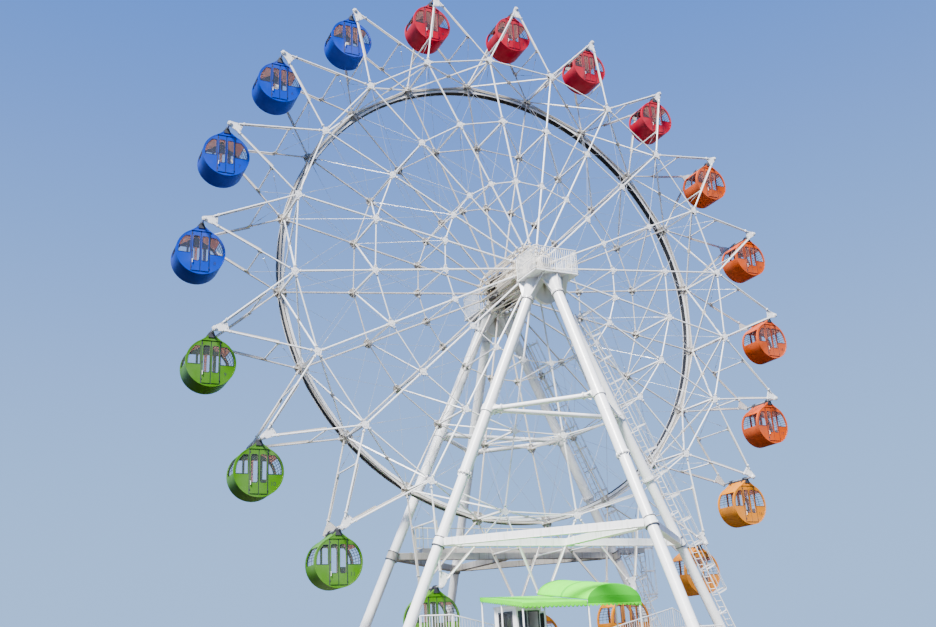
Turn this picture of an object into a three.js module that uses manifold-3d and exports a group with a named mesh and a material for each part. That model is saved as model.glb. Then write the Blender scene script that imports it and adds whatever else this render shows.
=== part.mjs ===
// A 34 m amusement wheel on six round steel legs: two spoked faces joined by cross frames, twenty
// round cabins that hang level from pins at the rim, and a raised boarding deck under a canopy.
// Millimetres. X runs to the right seen from the front, Y away from the viewer along the axle, Z up.
// The origin lies on the ground under the middle of the axle.
import * as THREE from 'three';
import { mergeVertices } from 'three/addons/utils/BufferGeometryUtils.js';
import Module from 'manifold-3d';

const wasm = await Module();
wasm.setup();

// Driving dimensions of the wheel
const HUB_HEIGHT = 19400;
const PIN_RADIUS = 15860;
const RIM_RADIUS = 12000;
const MIDDLE_RADIUS = 8270;
const INNER_RADIUS = 4790;
const ROOT_RADIUS = 1250;
const ROOT_FACE_Y = 1800;
const RIM_FACE_Y = 1378;
const PIN_FACE_Y = 1165;
const BAYS = 20;
const BAY_ANGLE = (2 * Math.PI) / BAYS;
// The photographed turn of the wheel: the angle of its first rim node from the top, clockwise
const WHEEL_TURN = THREE.MathUtils.degToRad(-25.02);
const GAP = 0.3;

// Driving dimensions of a cabin, measured down from its pin
const CABIN_RADIUS = 1050;
const CABIN_DEPTH = 1300;
const CABIN_DROP = 1320;
const CABIN_WALL = 45;
const CABIN_FACE_WALL = 30;
const CABIN_FLOOR = 900;

// Driving dimensions of the support
const LEG_UPPER_RADIUS = 250;
const LEG_LOWER_RADIUS = 225;
const LEG_PLANE_Y = 2600;
const LEG_TOP_Y = 2560;
const LEG_LEAN_Y = 0.0094;
const SPLICE_HEIGHT = HUB_HEIGHT - 10400;
const LEG_TOP_HEIGHT = HUB_HEIGHT - 2000;
const BEAM_HEIGHT = HUB_HEIGHT - 13280;
const BEAM_DEPTH = 300;
const BRACE_HEIGHT = HUB_HEIGHT - 7500;
const PLATFORM_HEIGHT = HUB_HEIGHT - 900;
const AXLE_RADIUS = 200;

// Driving dimensions of the station
const DECK_HEIGHT = 1250;
const CANOPY_FRONT_Y = -6000;
const CANOPY_SLOPE = 0.12;
const CANOPY_FRONT_HEIGHT = 3480;

const PAINT = { white: 0xf2f2f0, blue: 0x0a5fd2, red: 0xc8283c, orange: 0xe57a1e, yellow: 0xf0ac14,
  green: 0x62b52f, canopy: 0x78e35a, dark: 0x3a3a40, steel: 0x8a8c90, deck: 0x9a9a96 };

const group = new THREE.Group();
const UP = new THREE.Vector3(0, 0, 1);
const AXLE = new THREE.Vector3(0, 1, 0);
const vec = (x, y, z) => new THREE.Vector3(x, y, z);

// How far a vertex may move when slivers left by the joins are collapsed
const SIMPLIFY_TOLERANCE = 0.02;

// Turns a closed three.js geometry into a solid that can be joined and cut
function solid(geometry) {
  const bare = geometry.clone();
  bare.deleteAttribute('normal');
  bare.deleteAttribute('uv');
  const merged = mergeVertices(bare, 1e-3);
  return new wasm.Manifold(new wasm.Mesh({
    numProp: 3,
    vertProperties: new Float32Array(merged.attributes.position.array),
    triVerts: new Uint32Array(merged.index.array),
  }));
}

// Joins a list of solids in pairs, so that each join stays small
function join(solids) {
  let list = solids.slice();
  while (list.length > 1) {
    const next = [];
    for (let i = 0; i < list.length; i += 2) {
      next.push(i + 1 < list.length ? list[i].add(list[i + 1]) : list[i]);
    }
    list = next;
  }
  return list[0];
}

// Adds a solid to the model as a named mesh with its own paint
function addPart(name, part, color, roughness = 0.45, metalness = 0.2, turn = null) {
  const mesh = part.asOriginal().simplify(SIMPLIFY_TOLERANCE).getMesh();
  const geometry = new THREE.BufferGeometry();
  geometry.setAttribute('position', new THREE.BufferAttribute(new Float32Array(mesh.vertProperties), 3));
  geometry.setIndex(new THREE.BufferAttribute(new Uint32Array(mesh.triVerts), 1));
  geometry.computeVertexNormals();
  const node = new THREE.Mesh(geometry, new THREE.MeshStandardMaterial({ color, roughness, metalness }));
  node.name = name;
  if (turn) node.position.copy(turn);
  group.add(node);
  return node;
}

// A box by its two opposite corners
function box(x0, x1, y0, y1, z0, z1) {
  const geometry = new THREE.BoxGeometry(x1 - x0, y1 - y0, z1 - z0);
  geometry.translate((x0 + x1) / 2, (y0 + y1) / 2, (z0 + z1) / 2);
  return solid(geometry);
}

// The matrix that lays a length along +Z from one point to another, its own Y nearest to side
function along(from, to, side) {
  const z = to.clone().sub(from).normalize();
  const x = side.clone().cross(z).normalize();
  const y = z.clone().cross(x);
  const middle = from.clone().add(to).multiplyScalar(0.5);
  return new THREE.Matrix4().makeBasis(x, y, z).setPosition(middle);
}

// A straight square bar between two points: width lies across side, height along it
function bar(from, to, width, height = width, side = AXLE) {
  const geometry = new THREE.BoxGeometry(width, height, from.distanceTo(to));
  geometry.applyMatrix4(along(from, to, side));
  return solid(geometry);
}

// A straight round bar or cone between two points
function rod(from, to, radius, endRadius = radius, sides = 12, side = AXLE) {
  const geometry = new THREE.CylinderGeometry(endRadius, radius, from.distanceTo(to), sides);
  geometry.rotateX(Math.PI / 2);
  geometry.applyMatrix4(along(from, to, side));
  return solid(geometry);
}

// A flat outline in X and Z, drawn as points, made thick along Y around yMiddle
function plateXZ(points, yMiddle, thickness, holes = []) {
  const shape = new THREE.Shape(points.map(([x, z]) => new THREE.Vector2(x, z)));
  for (const hole of holes) shape.holes.push(new THREE.Path(hole.map(([x, z]) => new THREE.Vector2(x, z))));
  const geometry = new THREE.ExtrudeGeometry(shape, { depth: thickness, bevelEnabled: false, steps: 1 });
  geometry.rotateX(Math.PI / 2);
  geometry.translate(0, yMiddle + thickness / 2, 0);
  return solid(geometry);
}

// Points of a circle in X and Z, counter-clockwise seen from the front
function circle(radius, count, cx = 0, cz = 0, start = 0) {
  const points = [];
  for (let i = 0; i < count; i += 1) {
    const a = start + (i * 2 * Math.PI) / count;
    points.push([cx + radius * Math.cos(a), cz + radius * Math.sin(a)]);
  }
  return points;
}

// A point of the wheel at a radius and at an angle from the top, clockwise seen from the front
function wheelPoint(radius, angle, y) {
  return vec(radius * Math.sin(angle), y, HUB_HEIGHT + radius * Math.cos(angle));
}

const nodeAngle = (k) => WHEEL_TURN + k * BAY_ANGLE;
const pinAngle = (k) => WHEEL_TURN + (k + 0.5) * BAY_ANGLE;

// Distance of a spoke from the middle plane at a radius
function spokeY(radius) {
  const t = (Math.max(radius, ROOT_RADIUS) - ROOT_RADIUS) / (RIM_RADIUS - ROOT_RADIUS);
  return ROOT_FACE_Y + t * (RIM_FACE_Y - ROOT_FACE_Y);
}

// Widths of the members of a wheel face and its thickness at the hub and at the pins
const SPOKE_WIDTHS = [100, 92, 86];
const ARM_WIDTH = 92;
const RIM_WIDTH = 84;
const MIDDLE_WIDTH = 76;
const INNER_WIDTH = 68;
const FACE_HALF = 45;
const HUB_PLATE_RADIUS = 1320;
const HUB_PLATE_HALF = 55;
const PIN_PLATE_HALF = 20;
// Right half of a pin plate, across and outward from the pin, from its outer edge to its lower edge
const PIN_PLATE = [[130, 170], [300, -110], [190, -430]];
const PLATE_START = PIN_RADIUS + PIN_PLATE[2][1];
const ARM_START = RIM_RADIUS + 90;

// Where two lines meet, each given as a point and a direction
function meet([px, py], [dx, dy], [qx, qy], [ex, ey]) {
  const t = ((qx - px) * ey - (qy - py) * ex) / (dx * ey - dy * ex);
  return [px + t * dx, py + t * dy];
}

// One face of the wheel, flat at first: hub plate, spokes, three rings, arms and pin plates
function wheelFace(side) {
  const half = BAY_ANGLE / 2;
  const spokeDir = [Math.sin(half), Math.cos(half)];
  const spokeEdge = (width) => [-Math.cos(half) * (width / 2), Math.sin(half) * (width / 2)];
  const level = [1, 0];
  const node = [RIM_RADIUS * spokeDir[0], RIM_RADIUS * spokeDir[1]];
  const length = Math.hypot(node[0], PIN_RADIUS - node[1]);
  const armDir = [-node[0] / length, (PIN_RADIUS - node[1]) / length];
  const inward = [-armDir[1], armDir[0]];
  const armEdge = (sign) => [node[0] + sign * inward[0] * (ARM_WIDTH / 2), node[1] + sign * inward[1] * (ARM_WIDTH / 2)];
  const chord = (radius, offset) => [0, radius * Math.cos(half) + offset];
  const bands = [
    [chord(ROOT_RADIUS, 0), chord(INNER_RADIUS, -INNER_WIDTH / 2)],
    [chord(INNER_RADIUS, INNER_WIDTH / 2), chord(MIDDLE_RADIUS, -MIDDLE_WIDTH / 2)],
    [chord(MIDDLE_RADIUS, MIDDLE_WIDTH / 2), chord(RIM_RADIUS, -RIM_WIDTH / 2)],
  ];
  const mirrored = (points) => points.concat(points.slice().reverse().map(([u, v]) => [-u, v]));
  const cells = bands.map((band, i) => {
    const edge = spokeEdge(SPOKE_WIDTHS[i]);
    return mirrored(band.map((line) => meet(edge, spokeDir, line, level)));
  });
  const plate = PIN_PLATE.map(([u, v]) => [u, v + PIN_RADIUS]);
  cells.push(mirrored([
    meet(armEdge(1), armDir, chord(RIM_RADIUS, RIM_WIDTH / 2), level),
    meet(armEdge(1), armDir, plate[2], level),
  ]));
  const sideDir = [plate[1][0] - plate[2][0], plate[1][1] - plate[2][1]];
  const notch = meet(armEdge(-1), armDir, node, spokeDir);
  const shoulder = meet(armEdge(-1), armDir, plate[2], sideDir);
  const crown = [[-plate[0][0], plate[0][1]], [-plate[1][0], plate[1][1]], [-shoulder[0], shoulder[1]]];
  const bayEdge = [notch, shoulder, plate[1], plate[0], ...crown];
  const place = ([u, v], k) => {
    const a = pinAngle(k);
    return new THREE.Vector2(u * Math.cos(a) + v * Math.sin(a), v * Math.cos(a) - u * Math.sin(a));
  };
  const outline = [];
  const holes = [];
  for (let k = BAYS - 1; k >= 0; k -= 1) outline.push(...bayEdge.map((p) => place(p, k)));
  for (let k = 0; k < BAYS; k += 1) {
    for (const cell of cells) holes.push(new THREE.Path(cell.map((p) => place(p, k))));
  }
  holes.push(new THREE.Path(circle(ROOT_RADIUS - 250, BAYS).map(([x, z]) => new THREE.Vector2(x, z))));
  const shape = new THREE.Shape(outline);
  shape.holes = holes;
  const geometry = new THREE.ExtrudeGeometry(shape, { depth: 2, bevelEnabled: false, steps: 1 });
  geometry.rotateX(Math.PI / 2);
  geometry.translate(0, 1, 0);
  const rim = circle(HUB_PLATE_RADIUS, BAYS, 0, HUB_HEIGHT, Math.PI / 2 - pinAngle(0));
  const hole = circle(AXLE_RADIUS + GAP, 24, 0, HUB_HEIGHT);
  const hubPlate = plateXZ(rim, side * ROOT_FACE_Y, 2 * HUB_PLATE_HALF, [hole]);
  return solid(dished(geometry, side)).add(hubPlate);
}

// Bends a flat lattice to the wheel's taper: each point moves along the axle by its radius
function dished(geometry, side) {
  const position = geometry.attributes.position;
  for (let i = 0; i < position.count; i += 1) {
    const x = position.getX(i);
    const z = position.getZ(i);
    const radius = Math.hypot(x, z);
    const out = THREE.MathUtils.clamp((radius - ARM_START) / (PLATE_START - ARM_START), 0, 1);
    const middle = THREE.MathUtils.lerp(spokeY(Math.min(radius, ARM_START)), PIN_FACE_Y, out);
    const thickness = THREE.MathUtils.lerp(FACE_HALF, PIN_PLATE_HALF, out);
    position.setXYZ(i, x, side * middle + Math.sign(position.getY(i)) * thickness, z + HUB_HEIGHT);
  }
  return geometry;
}

// Cross struts between the two faces at one radius, tied round the ring by diagonals
function crossFrame(radius, strut, brace, doubled) {
  const inner = spokeY(radius + strut * 0.65) - FACE_HALF - GAP;
  const reach = inner - brace * 0.8;
  const parts = [];
  for (let k = 0; k < BAYS; k += 1) {
    const front = wheelPoint(radius, nodeAngle(k), -inner);
    const rear = wheelPoint(radius, nodeAngle(k), inner);
    parts.push(bar(front, rear, strut, strut, wheelPoint(1, nodeAngle(k), 0).sub(vec(0, 0, HUB_HEIGHT))));
    const outward = wheelPoint(1, pinAngle(k), 0).sub(vec(0, 0, HUB_HEIGHT));
    const corner = (end, y) => wheelPoint(radius, nodeAngle(end), y);
    parts.push(bar(corner(k, -reach), corner(k + 1, reach), brace, brace, outward));
    if (doubled) {
      const thin = brace * 0.9;
      const middle = corner(k, reach).lerp(corner(k + 1, -reach), 0.5);
      parts.push(bar(corner(k, reach), middle, thin, thin, outward));
      parts.push(bar(middle, corner(k + 1, -reach), thin, thin, outward));
    }
  }
  return join(parts);
}

addPart('wheel_front_frame', wheelFace(-1), PAINT.white);
addPart('wheel_rear_frame', wheelFace(1), PAINT.white);
addPart('rim_cross_frame', crossFrame(RIM_RADIUS - 60, 80, 60, true), PAINT.white);
addPart('middle_cross_frame', crossFrame(MIDDLE_RADIUS, 70, 50, false), PAINT.white);

// The drive ring behind the rear face, just inside the rim
function driveRing() {
  const inner = 11700;
  const outer = 11860;
  const depth = 130;
  const segments = 48;
  const front = spokeY(inner - 25) + FACE_HALF + GAP;
  const outline = circle(outer, segments, 0, HUB_HEIGHT);
  const hole = circle(inner, segments, 0, HUB_HEIGHT);
  return plateXZ(outline, front + depth / 2, depth, [hole]);
}
addPart('drive_ring', driveRing(), PAINT.dark);

// The drum between the hub plates and the axle that runs through both faces
const HUB_DRUM_RADIUS = 620;
const AXLE_HALF_LENGTH = 2950;
const drumHalf = ROOT_FACE_Y - HUB_PLATE_HALF - GAP;
const axleHole = circle(AXLE_RADIUS + GAP, 24, 0, HUB_HEIGHT);
addPart('hub_drum', plateXZ(circle(HUB_DRUM_RADIUS, 24, 0, HUB_HEIGHT), 0, 2 * drumHalf, [axleHole]), PAINT.steel);
addPart('main_axle', plateXZ(circle(AXLE_RADIUS, 24, 0, HUB_HEIGHT), 0, 2 * AXLE_HALF_LENGTH), PAINT.steel, 0.35, 0.7);

// A cabin: a drum with a small gable under its pin, hollow, with window openings cut through
function cabinSolid() {
  const half = CABIN_DEPTH / 2;
  const gableAngle = Math.atan2(420, 960);
  const arcSteps = 13;
  const outline = [[0, -40]];
  for (let i = 0; i <= arcSteps; i += 1) {
    const a = Math.PI / 2 + gableAngle + (i * (2 * Math.PI - 2 * gableAngle)) / arcSteps;
    outline.push([CABIN_RADIUS * Math.cos(a), -CABIN_DROP + CABIN_RADIUS * Math.sin(a)]);
  }
  const roomRadius = CABIN_RADIUS - CABIN_WALL;
  const floorAngle = Math.asin(CABIN_FLOOR / roomRadius);
  const roomSteps = 9;
  const room = [];
  for (let i = 0; i <= roomSteps; i += 1) {
    const a = -floorAngle + (i * (Math.PI + 2 * floorAngle)) / roomSteps;
    room.push([roomRadius * Math.cos(a), -CABIN_DROP + roomRadius * Math.sin(a)]);
  }
  const sill = -CABIN_DROP - 90;
  const head = -CABIN_DROP + 680;
  const cut = 2 * half + 100;
  const glassEdge = (z) => Math.sqrt(960 ** 2 - (z + CABIN_DROP) ** 2);
  const sideWindow = [[460, sill], [glassEdge(sill), sill], [glassEdge(head), head], [460, head]];
  const openings = [
    plateXZ(room, 0, 2 * (half - CABIN_FACE_WALL)),
    plateXZ(sideWindow, 0, cut),
    plateXZ(sideWindow.map(([x, z]) => [-x, z]).reverse(), 0, cut),
    box(-310, 280, -cut / 2, cut / 2, -CABIN_DROP - 410, -CABIN_DROP + 650),
    box(-CABIN_RADIUS - 50, CABIN_RADIUS + 50, -half + 130, half - 130, sill, -CABIN_DROP + 620),
  ];
  let shell = plateXZ(outline, 0, 2 * half);
  for (const opening of openings) shell = shell.subtract(opening);
  const trunnionEnd = PIN_FACE_Y - PIN_PLATE_HALF - GAP;
  return shell.add(plateXZ(circle(50, 6, 0, 0), 0, 2 * trunnionEnd));
}
const CABIN_COLORS = [PAINT.red, PAINT.orange, PAINT.yellow, PAINT.green, PAINT.blue];
const cabin = cabinSolid();
for (let k = 0; k < BAYS; k += 1) {
  const name = `cabin_${String(k + 1).padStart(2, '0')}`;
  const pin = wheelPoint(PIN_RADIUS, pinAngle(k), 0);
  addPart(name, cabin, CABIN_COLORS[Math.floor(k / 4)], 0.3, 0.05, pin);
}

// The middle line of a leg: where it stands at a height, for its place left, right or out
const LEG_SLOPE_X = 7280 / 16000;
const LEG_SLOPE_Y = 7340 / 16000;
function legPoint(place, side, height) {
  const drop = HUB_HEIGHT - height - 2000;
  if (place === 0) return vec(0, side * (3750 + drop * LEG_SLOPE_Y), height);
  return vec(place * (960 + drop * LEG_SLOPE_X), side * (LEG_TOP_Y + drop * LEG_LEAN_Y), height);
}

// A point along a leg, measured from a point on it
function stepAlong(from, toward, distance) {
  return from.clone().add(toward.clone().sub(from).normalize().multiplyScalar(distance));
}

// One round leg: base plate, lower tube, splice flanges, upper tube and head flange
function leg(place, side) {
  const foot = legPoint(place, side, 0);
  const splice = legPoint(place, side, SPLICE_HEIGHT);
  const top = legPoint(place, side, LEG_TOP_HEIGHT);
  const below = legPoint(place, side, -400);
  const flange = 70;
  const flangeRadius = 340;
  let tubes = join([
    rod(below, splice, LEG_LOWER_RADIUS),
    rod(splice, top, LEG_UPPER_RADIUS),
    rod(stepAlong(splice, foot, flange), stepAlong(splice, top, flange), flangeRadius),
    rod(stepAlong(top, foot, flange), top, flangeRadius),
  ]);
  tubes = tubes.subtract(box(foot.x - 2000, foot.x + 2000, foot.y - 2000, foot.y + 2000, -1500, 0));
  const plate = 500;
  return tubes.add(box(foot.x - plate, foot.x + plate, foot.y - plate, foot.y + plate, 0, 60));
}
const LEGS = [['left', -1], ['right', 1], ['outer', 0]];
const SIDES = [['front', -1], ['rear', 1]];
for (const [sideName, side] of SIDES) {
  for (const [placeName, place] of LEGS) {
    addPart(`leg_${sideName}_${placeName}`, leg(place, side), PAINT.white);
  }
}

// The leg heads under a hub platform and the round-bottomed plate that ties them
function hubBracket(side) {
  const under = PLATFORM_HEIGHT - 60 - GAP;
  const parts = [];
  for (const place of [-1, 1, 0]) {
    const top = legPoint(place, side, LEG_TOP_HEIGHT);
    const high = legPoint(place, side, under + 300);
    const seat = stepAlong(top, high, GAP + 0.2);
    parts.push(rod(seat, stepAlong(seat, high, 70), 340));
    parts.push(rod(seat, high, LEG_UPPER_RADIUS, 420, 12));
  }
  const y = side * LEG_PLANE_Y;
  const outline = [[-900, under]];
  const plateBottom = HUB_HEIGHT - 2120;
  for (let i = 0; i <= 8; i += 1) {
    const a = Math.PI + (i * Math.PI) / 8;
    outline.push([620 * Math.cos(a), plateBottom + 560 + 560 * Math.sin(a)]);
  }
  outline.push([900, under]);
  parts.push(plateXZ(outline, y, 120));
  const far = side * 3700;
  parts.push(box(-50, 50, Math.min(y, far), Math.max(y, far), HUB_HEIGHT - 1850, under));
  return join(parts).subtract(box(-3000, 3000, -6000, 6000, under, under + 2000));
}

// The platform round a bearing, with a railing on its three outer sides
function hubPlatform(side) {
  const halfWidth = 1180;
  const near = side * 2050;
  const far = side * 3870;
  const y0 = Math.min(near, far);
  const y1 = Math.max(near, far);
  const floor = PLATFORM_HEIGHT;
  const post = 50;
  const railHeights = [550, 1070];
  const parts = [box(-halfWidth, halfWidth, y0, y1, floor - 60, floor)];
  const edge = halfWidth - post / 2;
  const outer = far - side * (post / 2);
  const inner = near + side * (post / 2);
  const spots = [[-edge, inner], [-edge, (inner + outer) / 2], [-edge, outer], [0, outer], [edge, outer],
    [edge, (inner + outer) / 2], [edge, inner]];
  const top = railHeights[1];
  for (const [x, y] of spots) {
    parts.push(box(x - post / 2, x + post / 2, y - post / 2, y + post / 2, floor - 10, floor + top));
  }
  for (const height of railHeights) {
    const z = floor + height - post / 2;
    const size = post * 0.8;
    parts.push(bar(vec(-edge, inner, z), vec(-edge, outer, z), size, size, UP));
    parts.push(bar(vec(edge, inner, z), vec(edge, outer, z), size, size, UP));
    parts.push(bar(vec(-edge, outer, z), vec(edge, outer, z), size, size, UP));
  }
  return join(parts);
}

// A bearing block on its platform, bored for the axle
function bearing(side) {
  const boreSides = 24;
  const bore = (AXLE_RADIUS + 0.08) / Math.cos(Math.PI / boreSides);
  const foot = PLATFORM_HEIGHT + GAP;
  const outline = [[-520, foot], [520, foot], [520, foot + 120], [360, foot + 200], [360, HUB_HEIGHT + 60],
    [190, HUB_HEIGHT + 340], [-190, HUB_HEIGHT + 340], [-360, HUB_HEIGHT + 60], [-360, foot + 200], [-520, foot + 120]];
  const hole = circle(bore, boreSides, 0, HUB_HEIGHT, Math.PI / boreSides);
  return plateXZ(outline, side * LEG_PLANE_Y, 460, [hole]);
}
for (const [sideName, side] of SIDES) {
  addPart(`hub_bracket_${sideName}`, hubBracket(side), PAINT.white);
  addPart(`hub_platform_${sideName}`, hubPlatform(side), PAINT.white);
  addPart(`bearing_${sideName}`, bearing(side), PAINT.steel);
}

// Space that a leg takes up near a height, with the working gap round it
function legSpace(place, side, height, radius, reach = 900) {
  const low = legPoint(place, side, height - reach);
  const high = legPoint(place, side, height + reach);
  return rod(low, high, radius + GAP);
}

// A short collar clamped round a leg at a height
function legCollar(place, side, height, radius, half) {
  return rod(legPoint(place, side, height - half), legPoint(place, side, height + half), radius);
}

// Level members that tie the three legs of one side together
const BEAM_COLLAR = { radius: 275, half: 165 };
const BRACE_COLLAR = { radius: 300, half: 130 };
function tieSet(side, height, legRadius, member, collar, middleStrut) {
  const spots = [-1, 1, 0].map((place) => legPoint(place, side, height));
  const parts = [];
  for (const [a, b] of [[0, 1], [0, 2], [1, 2]]) parts.push(member(spots[a], spots[b]));
  if (middleStrut) parts.push(member(vec(0, spots[0].y, height), spots[2]));
  for (const place of [-1, 1, 0]) parts.push(legCollar(place, side, height, collar.radius, collar.half));
  let set = join(parts);
  for (const place of [-1, 1, 0]) set = set.subtract(legSpace(place, side, height, legRadius));
  return set;
}
const BEAM_WIDTH = 300;
const beamBox = (a, b) => bar(a, b, BEAM_WIDTH, BEAM_DEPTH, UP);
const braceTube = (a, b) => rod(a, b, 110, 110, 6, UP);
for (const [sideName, side] of SIDES) {
  addPart(`beam_set_${sideName}`, tieSet(side, BEAM_HEIGHT, LEG_LOWER_RADIUS, beamBox, BEAM_COLLAR, true), PAINT.white);
  addPart(`brace_set_${sideName}`, tieSet(side, BRACE_HEIGHT, LEG_UPPER_RADIUS, braceTube, BRACE_COLLAR, false),
    PAINT.white);
}

// A flight of level rails on posts along a list of corner points
function railing(corners, baseHeight, postSpacing, topHeight = 1080) {
  const parts = [];
  const post = 50;
  for (let i = 0; i + 1 < corners.length; i += 1) {
    const a = vec(corners[i][0], corners[i][1], baseHeight);
    const b = vec(corners[i + 1][0], corners[i + 1][1], baseHeight);
    const count = Math.max(1, Math.round(a.distanceTo(b) / postSpacing));
    for (let j = 0; j <= count; j += 1) {
      if (i > 0 && j === 0) continue;
      const p = a.clone().lerp(b, j / count);
      parts.push(box(p.x - post / 2, p.x + post / 2, p.y - post / 2, p.y + post / 2, baseHeight, baseHeight + topHeight));
    }
    for (const height of [topHeight * 0.5, topHeight - post / 2]) {
      const lift = vec(0, 0, height);
      parts.push(bar(a.clone().add(lift), b.clone().add(lift), post * 0.8, post * 0.8, UP));
    }
  }
  return join(parts);
}

// The narrow service deck along the rear beam: a floor in a frame of channels, railed on three sides
const SERVICE_FRAME = 270;
const SERVICE_FLOOR = 60;
const SERVICE_CHANNEL = 70;
const SERVICE_LEFT = -4400;
const SERVICE_RIGHT = 8200;
const SERVICE_FRONT = 3020;
const SERVICE_BACK = 3980;
const SERVICE_TOP = BEAM_HEIGHT + BEAM_DEPTH / 2 + SERVICE_FRAME + GAP;
function serviceDeck() {
  const under = SERVICE_TOP - SERVICE_FRAME;
  const block = box(SERVICE_LEFT, SERVICE_RIGHT, SERVICE_FRONT, SERVICE_BACK, under, SERVICE_TOP);
  const hollow = box(SERVICE_LEFT + SERVICE_CHANNEL, SERVICE_RIGHT - SERVICE_CHANNEL, SERVICE_FRONT + SERVICE_CHANNEL,
    SERVICE_BACK - SERVICE_CHANNEL, under - SERVICE_FLOOR, SERVICE_TOP - SERVICE_FLOOR);
  const inset = 40;
  const left = SERVICE_LEFT + inset;
  const right = SERVICE_RIGHT - inset;
  const back = SERVICE_BACK - inset;
  const rail = railing([[left, SERVICE_FRONT + inset], [left, back], [right, back], [right, back - 160]],
    SERVICE_TOP - 5, 1800);
  return block.subtract(hollow).add(rail);
}
addPart('service_deck', serviceDeck(), PAINT.white);

// A caged ladder on brackets that follows a line beside a leg
function ladder(low, high, out, rungSpacing, hoopSpacing, firstHoop = 2200) {
  const line = high.clone().sub(low).normalize();
  const across = out.clone().cross(line).normalize();
  const halfWidth = 220;
  const reach = 640;
  const left = across.clone().multiplyScalar(halfWidth);
  const length = low.distanceTo(high);
  const parts = [];
  for (const s of [-1, 1]) {
    const shift = left.clone().multiplyScalar(s);
    parts.push(bar(low.clone().add(shift), high.clone().add(shift), 44, 44, out));
  }
  for (let d = rungSpacing; d < length; d += rungSpacing) {
    const p = low.clone().add(line.clone().multiplyScalar(d));
    parts.push(bar(p.clone().sub(left), p.clone().add(left), 30, 31, out));
  }
  if (hoopSpacing > 0) {
    const strap = out.clone().multiplyScalar(reach);
    const bow = new THREE.Shape([[-236, -8], [-204, -8], [-265, 420], [-60, 610], [60, 610], [265, 420],
      [204, -8], [236, -8], [315, 445], [80, 660], [-80, 660], [-315, 445]].map(([u, v]) => new THREE.Vector2(u, v)));
    for (let d = firstHoop; d < length; d += hoopSpacing) {
      const geometry = new THREE.ExtrudeGeometry(bow, { depth: 50, bevelEnabled: false, steps: 1 });
      const p = low.clone().add(line.clone().multiplyScalar(d));
      geometry.applyMatrix4(new THREE.Matrix4().makeBasis(across, out, line).setPosition(p));
      parts.push(solid(geometry));
    }
    const first = low.clone().add(line.clone().multiplyScalar(firstHoop + 20));
    parts.push(bar(first.add(strap), high.clone().add(strap), 33, 27, out));
  }
  return join(parts);
}
function legLadder(place, side, lowHeight, highHeight) {
  const out = vec(place, 0, LEG_SLOPE_X).normalize();
  const stand = out.clone().multiplyScalar(LEG_UPPER_RADIUS + 330);
  const low = legPoint(place, side, lowHeight).add(stand);
  const high = legPoint(place, side, highHeight).add(stand);
  const parts = [ladder(low, high, out, 1800, 3600)];
  for (const share of [0.12, 0.4, 0.88]) {
    for (const s of [-1, 1]) {
      const start = low.clone().lerp(high, share).add(vec(0, s * 214, 0));
      parts.push(bar(start, start.clone().sub(stand.clone().multiplyScalar(0.85)), 37, 37, AXLE));
    }
  }
  const middle = (lowHeight + highHeight) / 2;
  return join(parts).subtract(legSpace(place, side, middle, LEG_UPPER_RADIUS, highHeight - lowHeight));
}
addPart('leg_ladder_front', legLadder(1, -1, 900, HUB_HEIGHT - 2600), PAINT.white);
addPart('leg_ladder_rear', legLadder(1, 1, 900, HUB_HEIGHT - 2600), PAINT.white);

// The ladder from the ground to the right end of the service deck, caged over its upper part
function groundLadder() {
  const x = SERVICE_RIGHT + 160;
  const y = 3480;
  const low = vec(x, y, 0);
  const high = vec(x, y, SERVICE_TOP + 900);
  const rails = ladder(low, high, vec(1, 0, 0), 1200, 1180, 4200);
  const hooks = [-1, 1].map((s) => box(SERVICE_RIGHT + GAP, x, y + s * 220 - 20, y + s * 220 + 20,
    SERVICE_TOP - 60, SERVICE_TOP - 10));
  return join([rails, ...hooks]);
}
addPart('ground_ladder', groundLadder(), PAINT.white);

// The raised deck where the cabins are boarded, on a grid of square posts
const DECK_LEFT = -6400;
const DECK_RIGHT = 4800;
const DECK_FRONT = -6600;
const DECK_BACK = -850;
const STEPS_LEFT = -1900;
const STEPS_RIGHT = 1500;
function boardingDeck() {
  const thickness = 90;
  const under = DECK_HEIGHT - thickness;
  const parts = [box(DECK_LEFT, DECK_RIGHT, DECK_FRONT, DECK_BACK, under, DECK_HEIGHT)];
  parts.push(box(DECK_LEFT, DECK_RIGHT, DECK_FRONT, DECK_FRONT + 80, under - 260, under + 10));
  const post = 140;
  for (let i = 0; i < 4; i += 1) {
    for (let j = 0; j < 3; j += 1) {
      const x = THREE.MathUtils.lerp(DECK_LEFT + 400, DECK_RIGHT - 400, i / 3);
      const y = THREE.MathUtils.lerp(DECK_FRONT + 400, DECK_BACK - 400, j / 2);
      parts.push(box(x - post / 2, x + post / 2, y - post / 2, y + post / 2, 0, under + 10));
    }
  }
  return join(parts);
}
addPart('boarding_deck', boardingDeck(), PAINT.deck, 0.8, 0);

// The stairs up the front of the deck
function deckSteps() {
  const risers = 7;
  const rise = DECK_HEIGHT / (risers + 1);
  const tread = 270;
  const outline = [];
  for (let i = 0; i < risers; i += 1) {
    outline.push([i * tread, (i + 1) * rise]);
    outline.push([(i + 1) * tread, (i + 1) * rise]);
  }
  const depth = risers * tread;
  const profile = [[0, 0], ...outline, [depth, 0]].map(([u, z]) => new THREE.Vector2(u, z));
  const geometry = new THREE.ExtrudeGeometry(new THREE.Shape(profile), {
    depth: STEPS_RIGHT - STEPS_LEFT, bevelEnabled: false, steps: 1,
  });
  geometry.rotateX(Math.PI / 2);
  geometry.rotateZ(Math.PI / 2);
  geometry.translate(STEPS_LEFT, DECK_FRONT - depth - GAP, 0);
  return solid(geometry);
}
addPart('deck_steps', deckSteps(), PAINT.deck, 0.8, 0);

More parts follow.
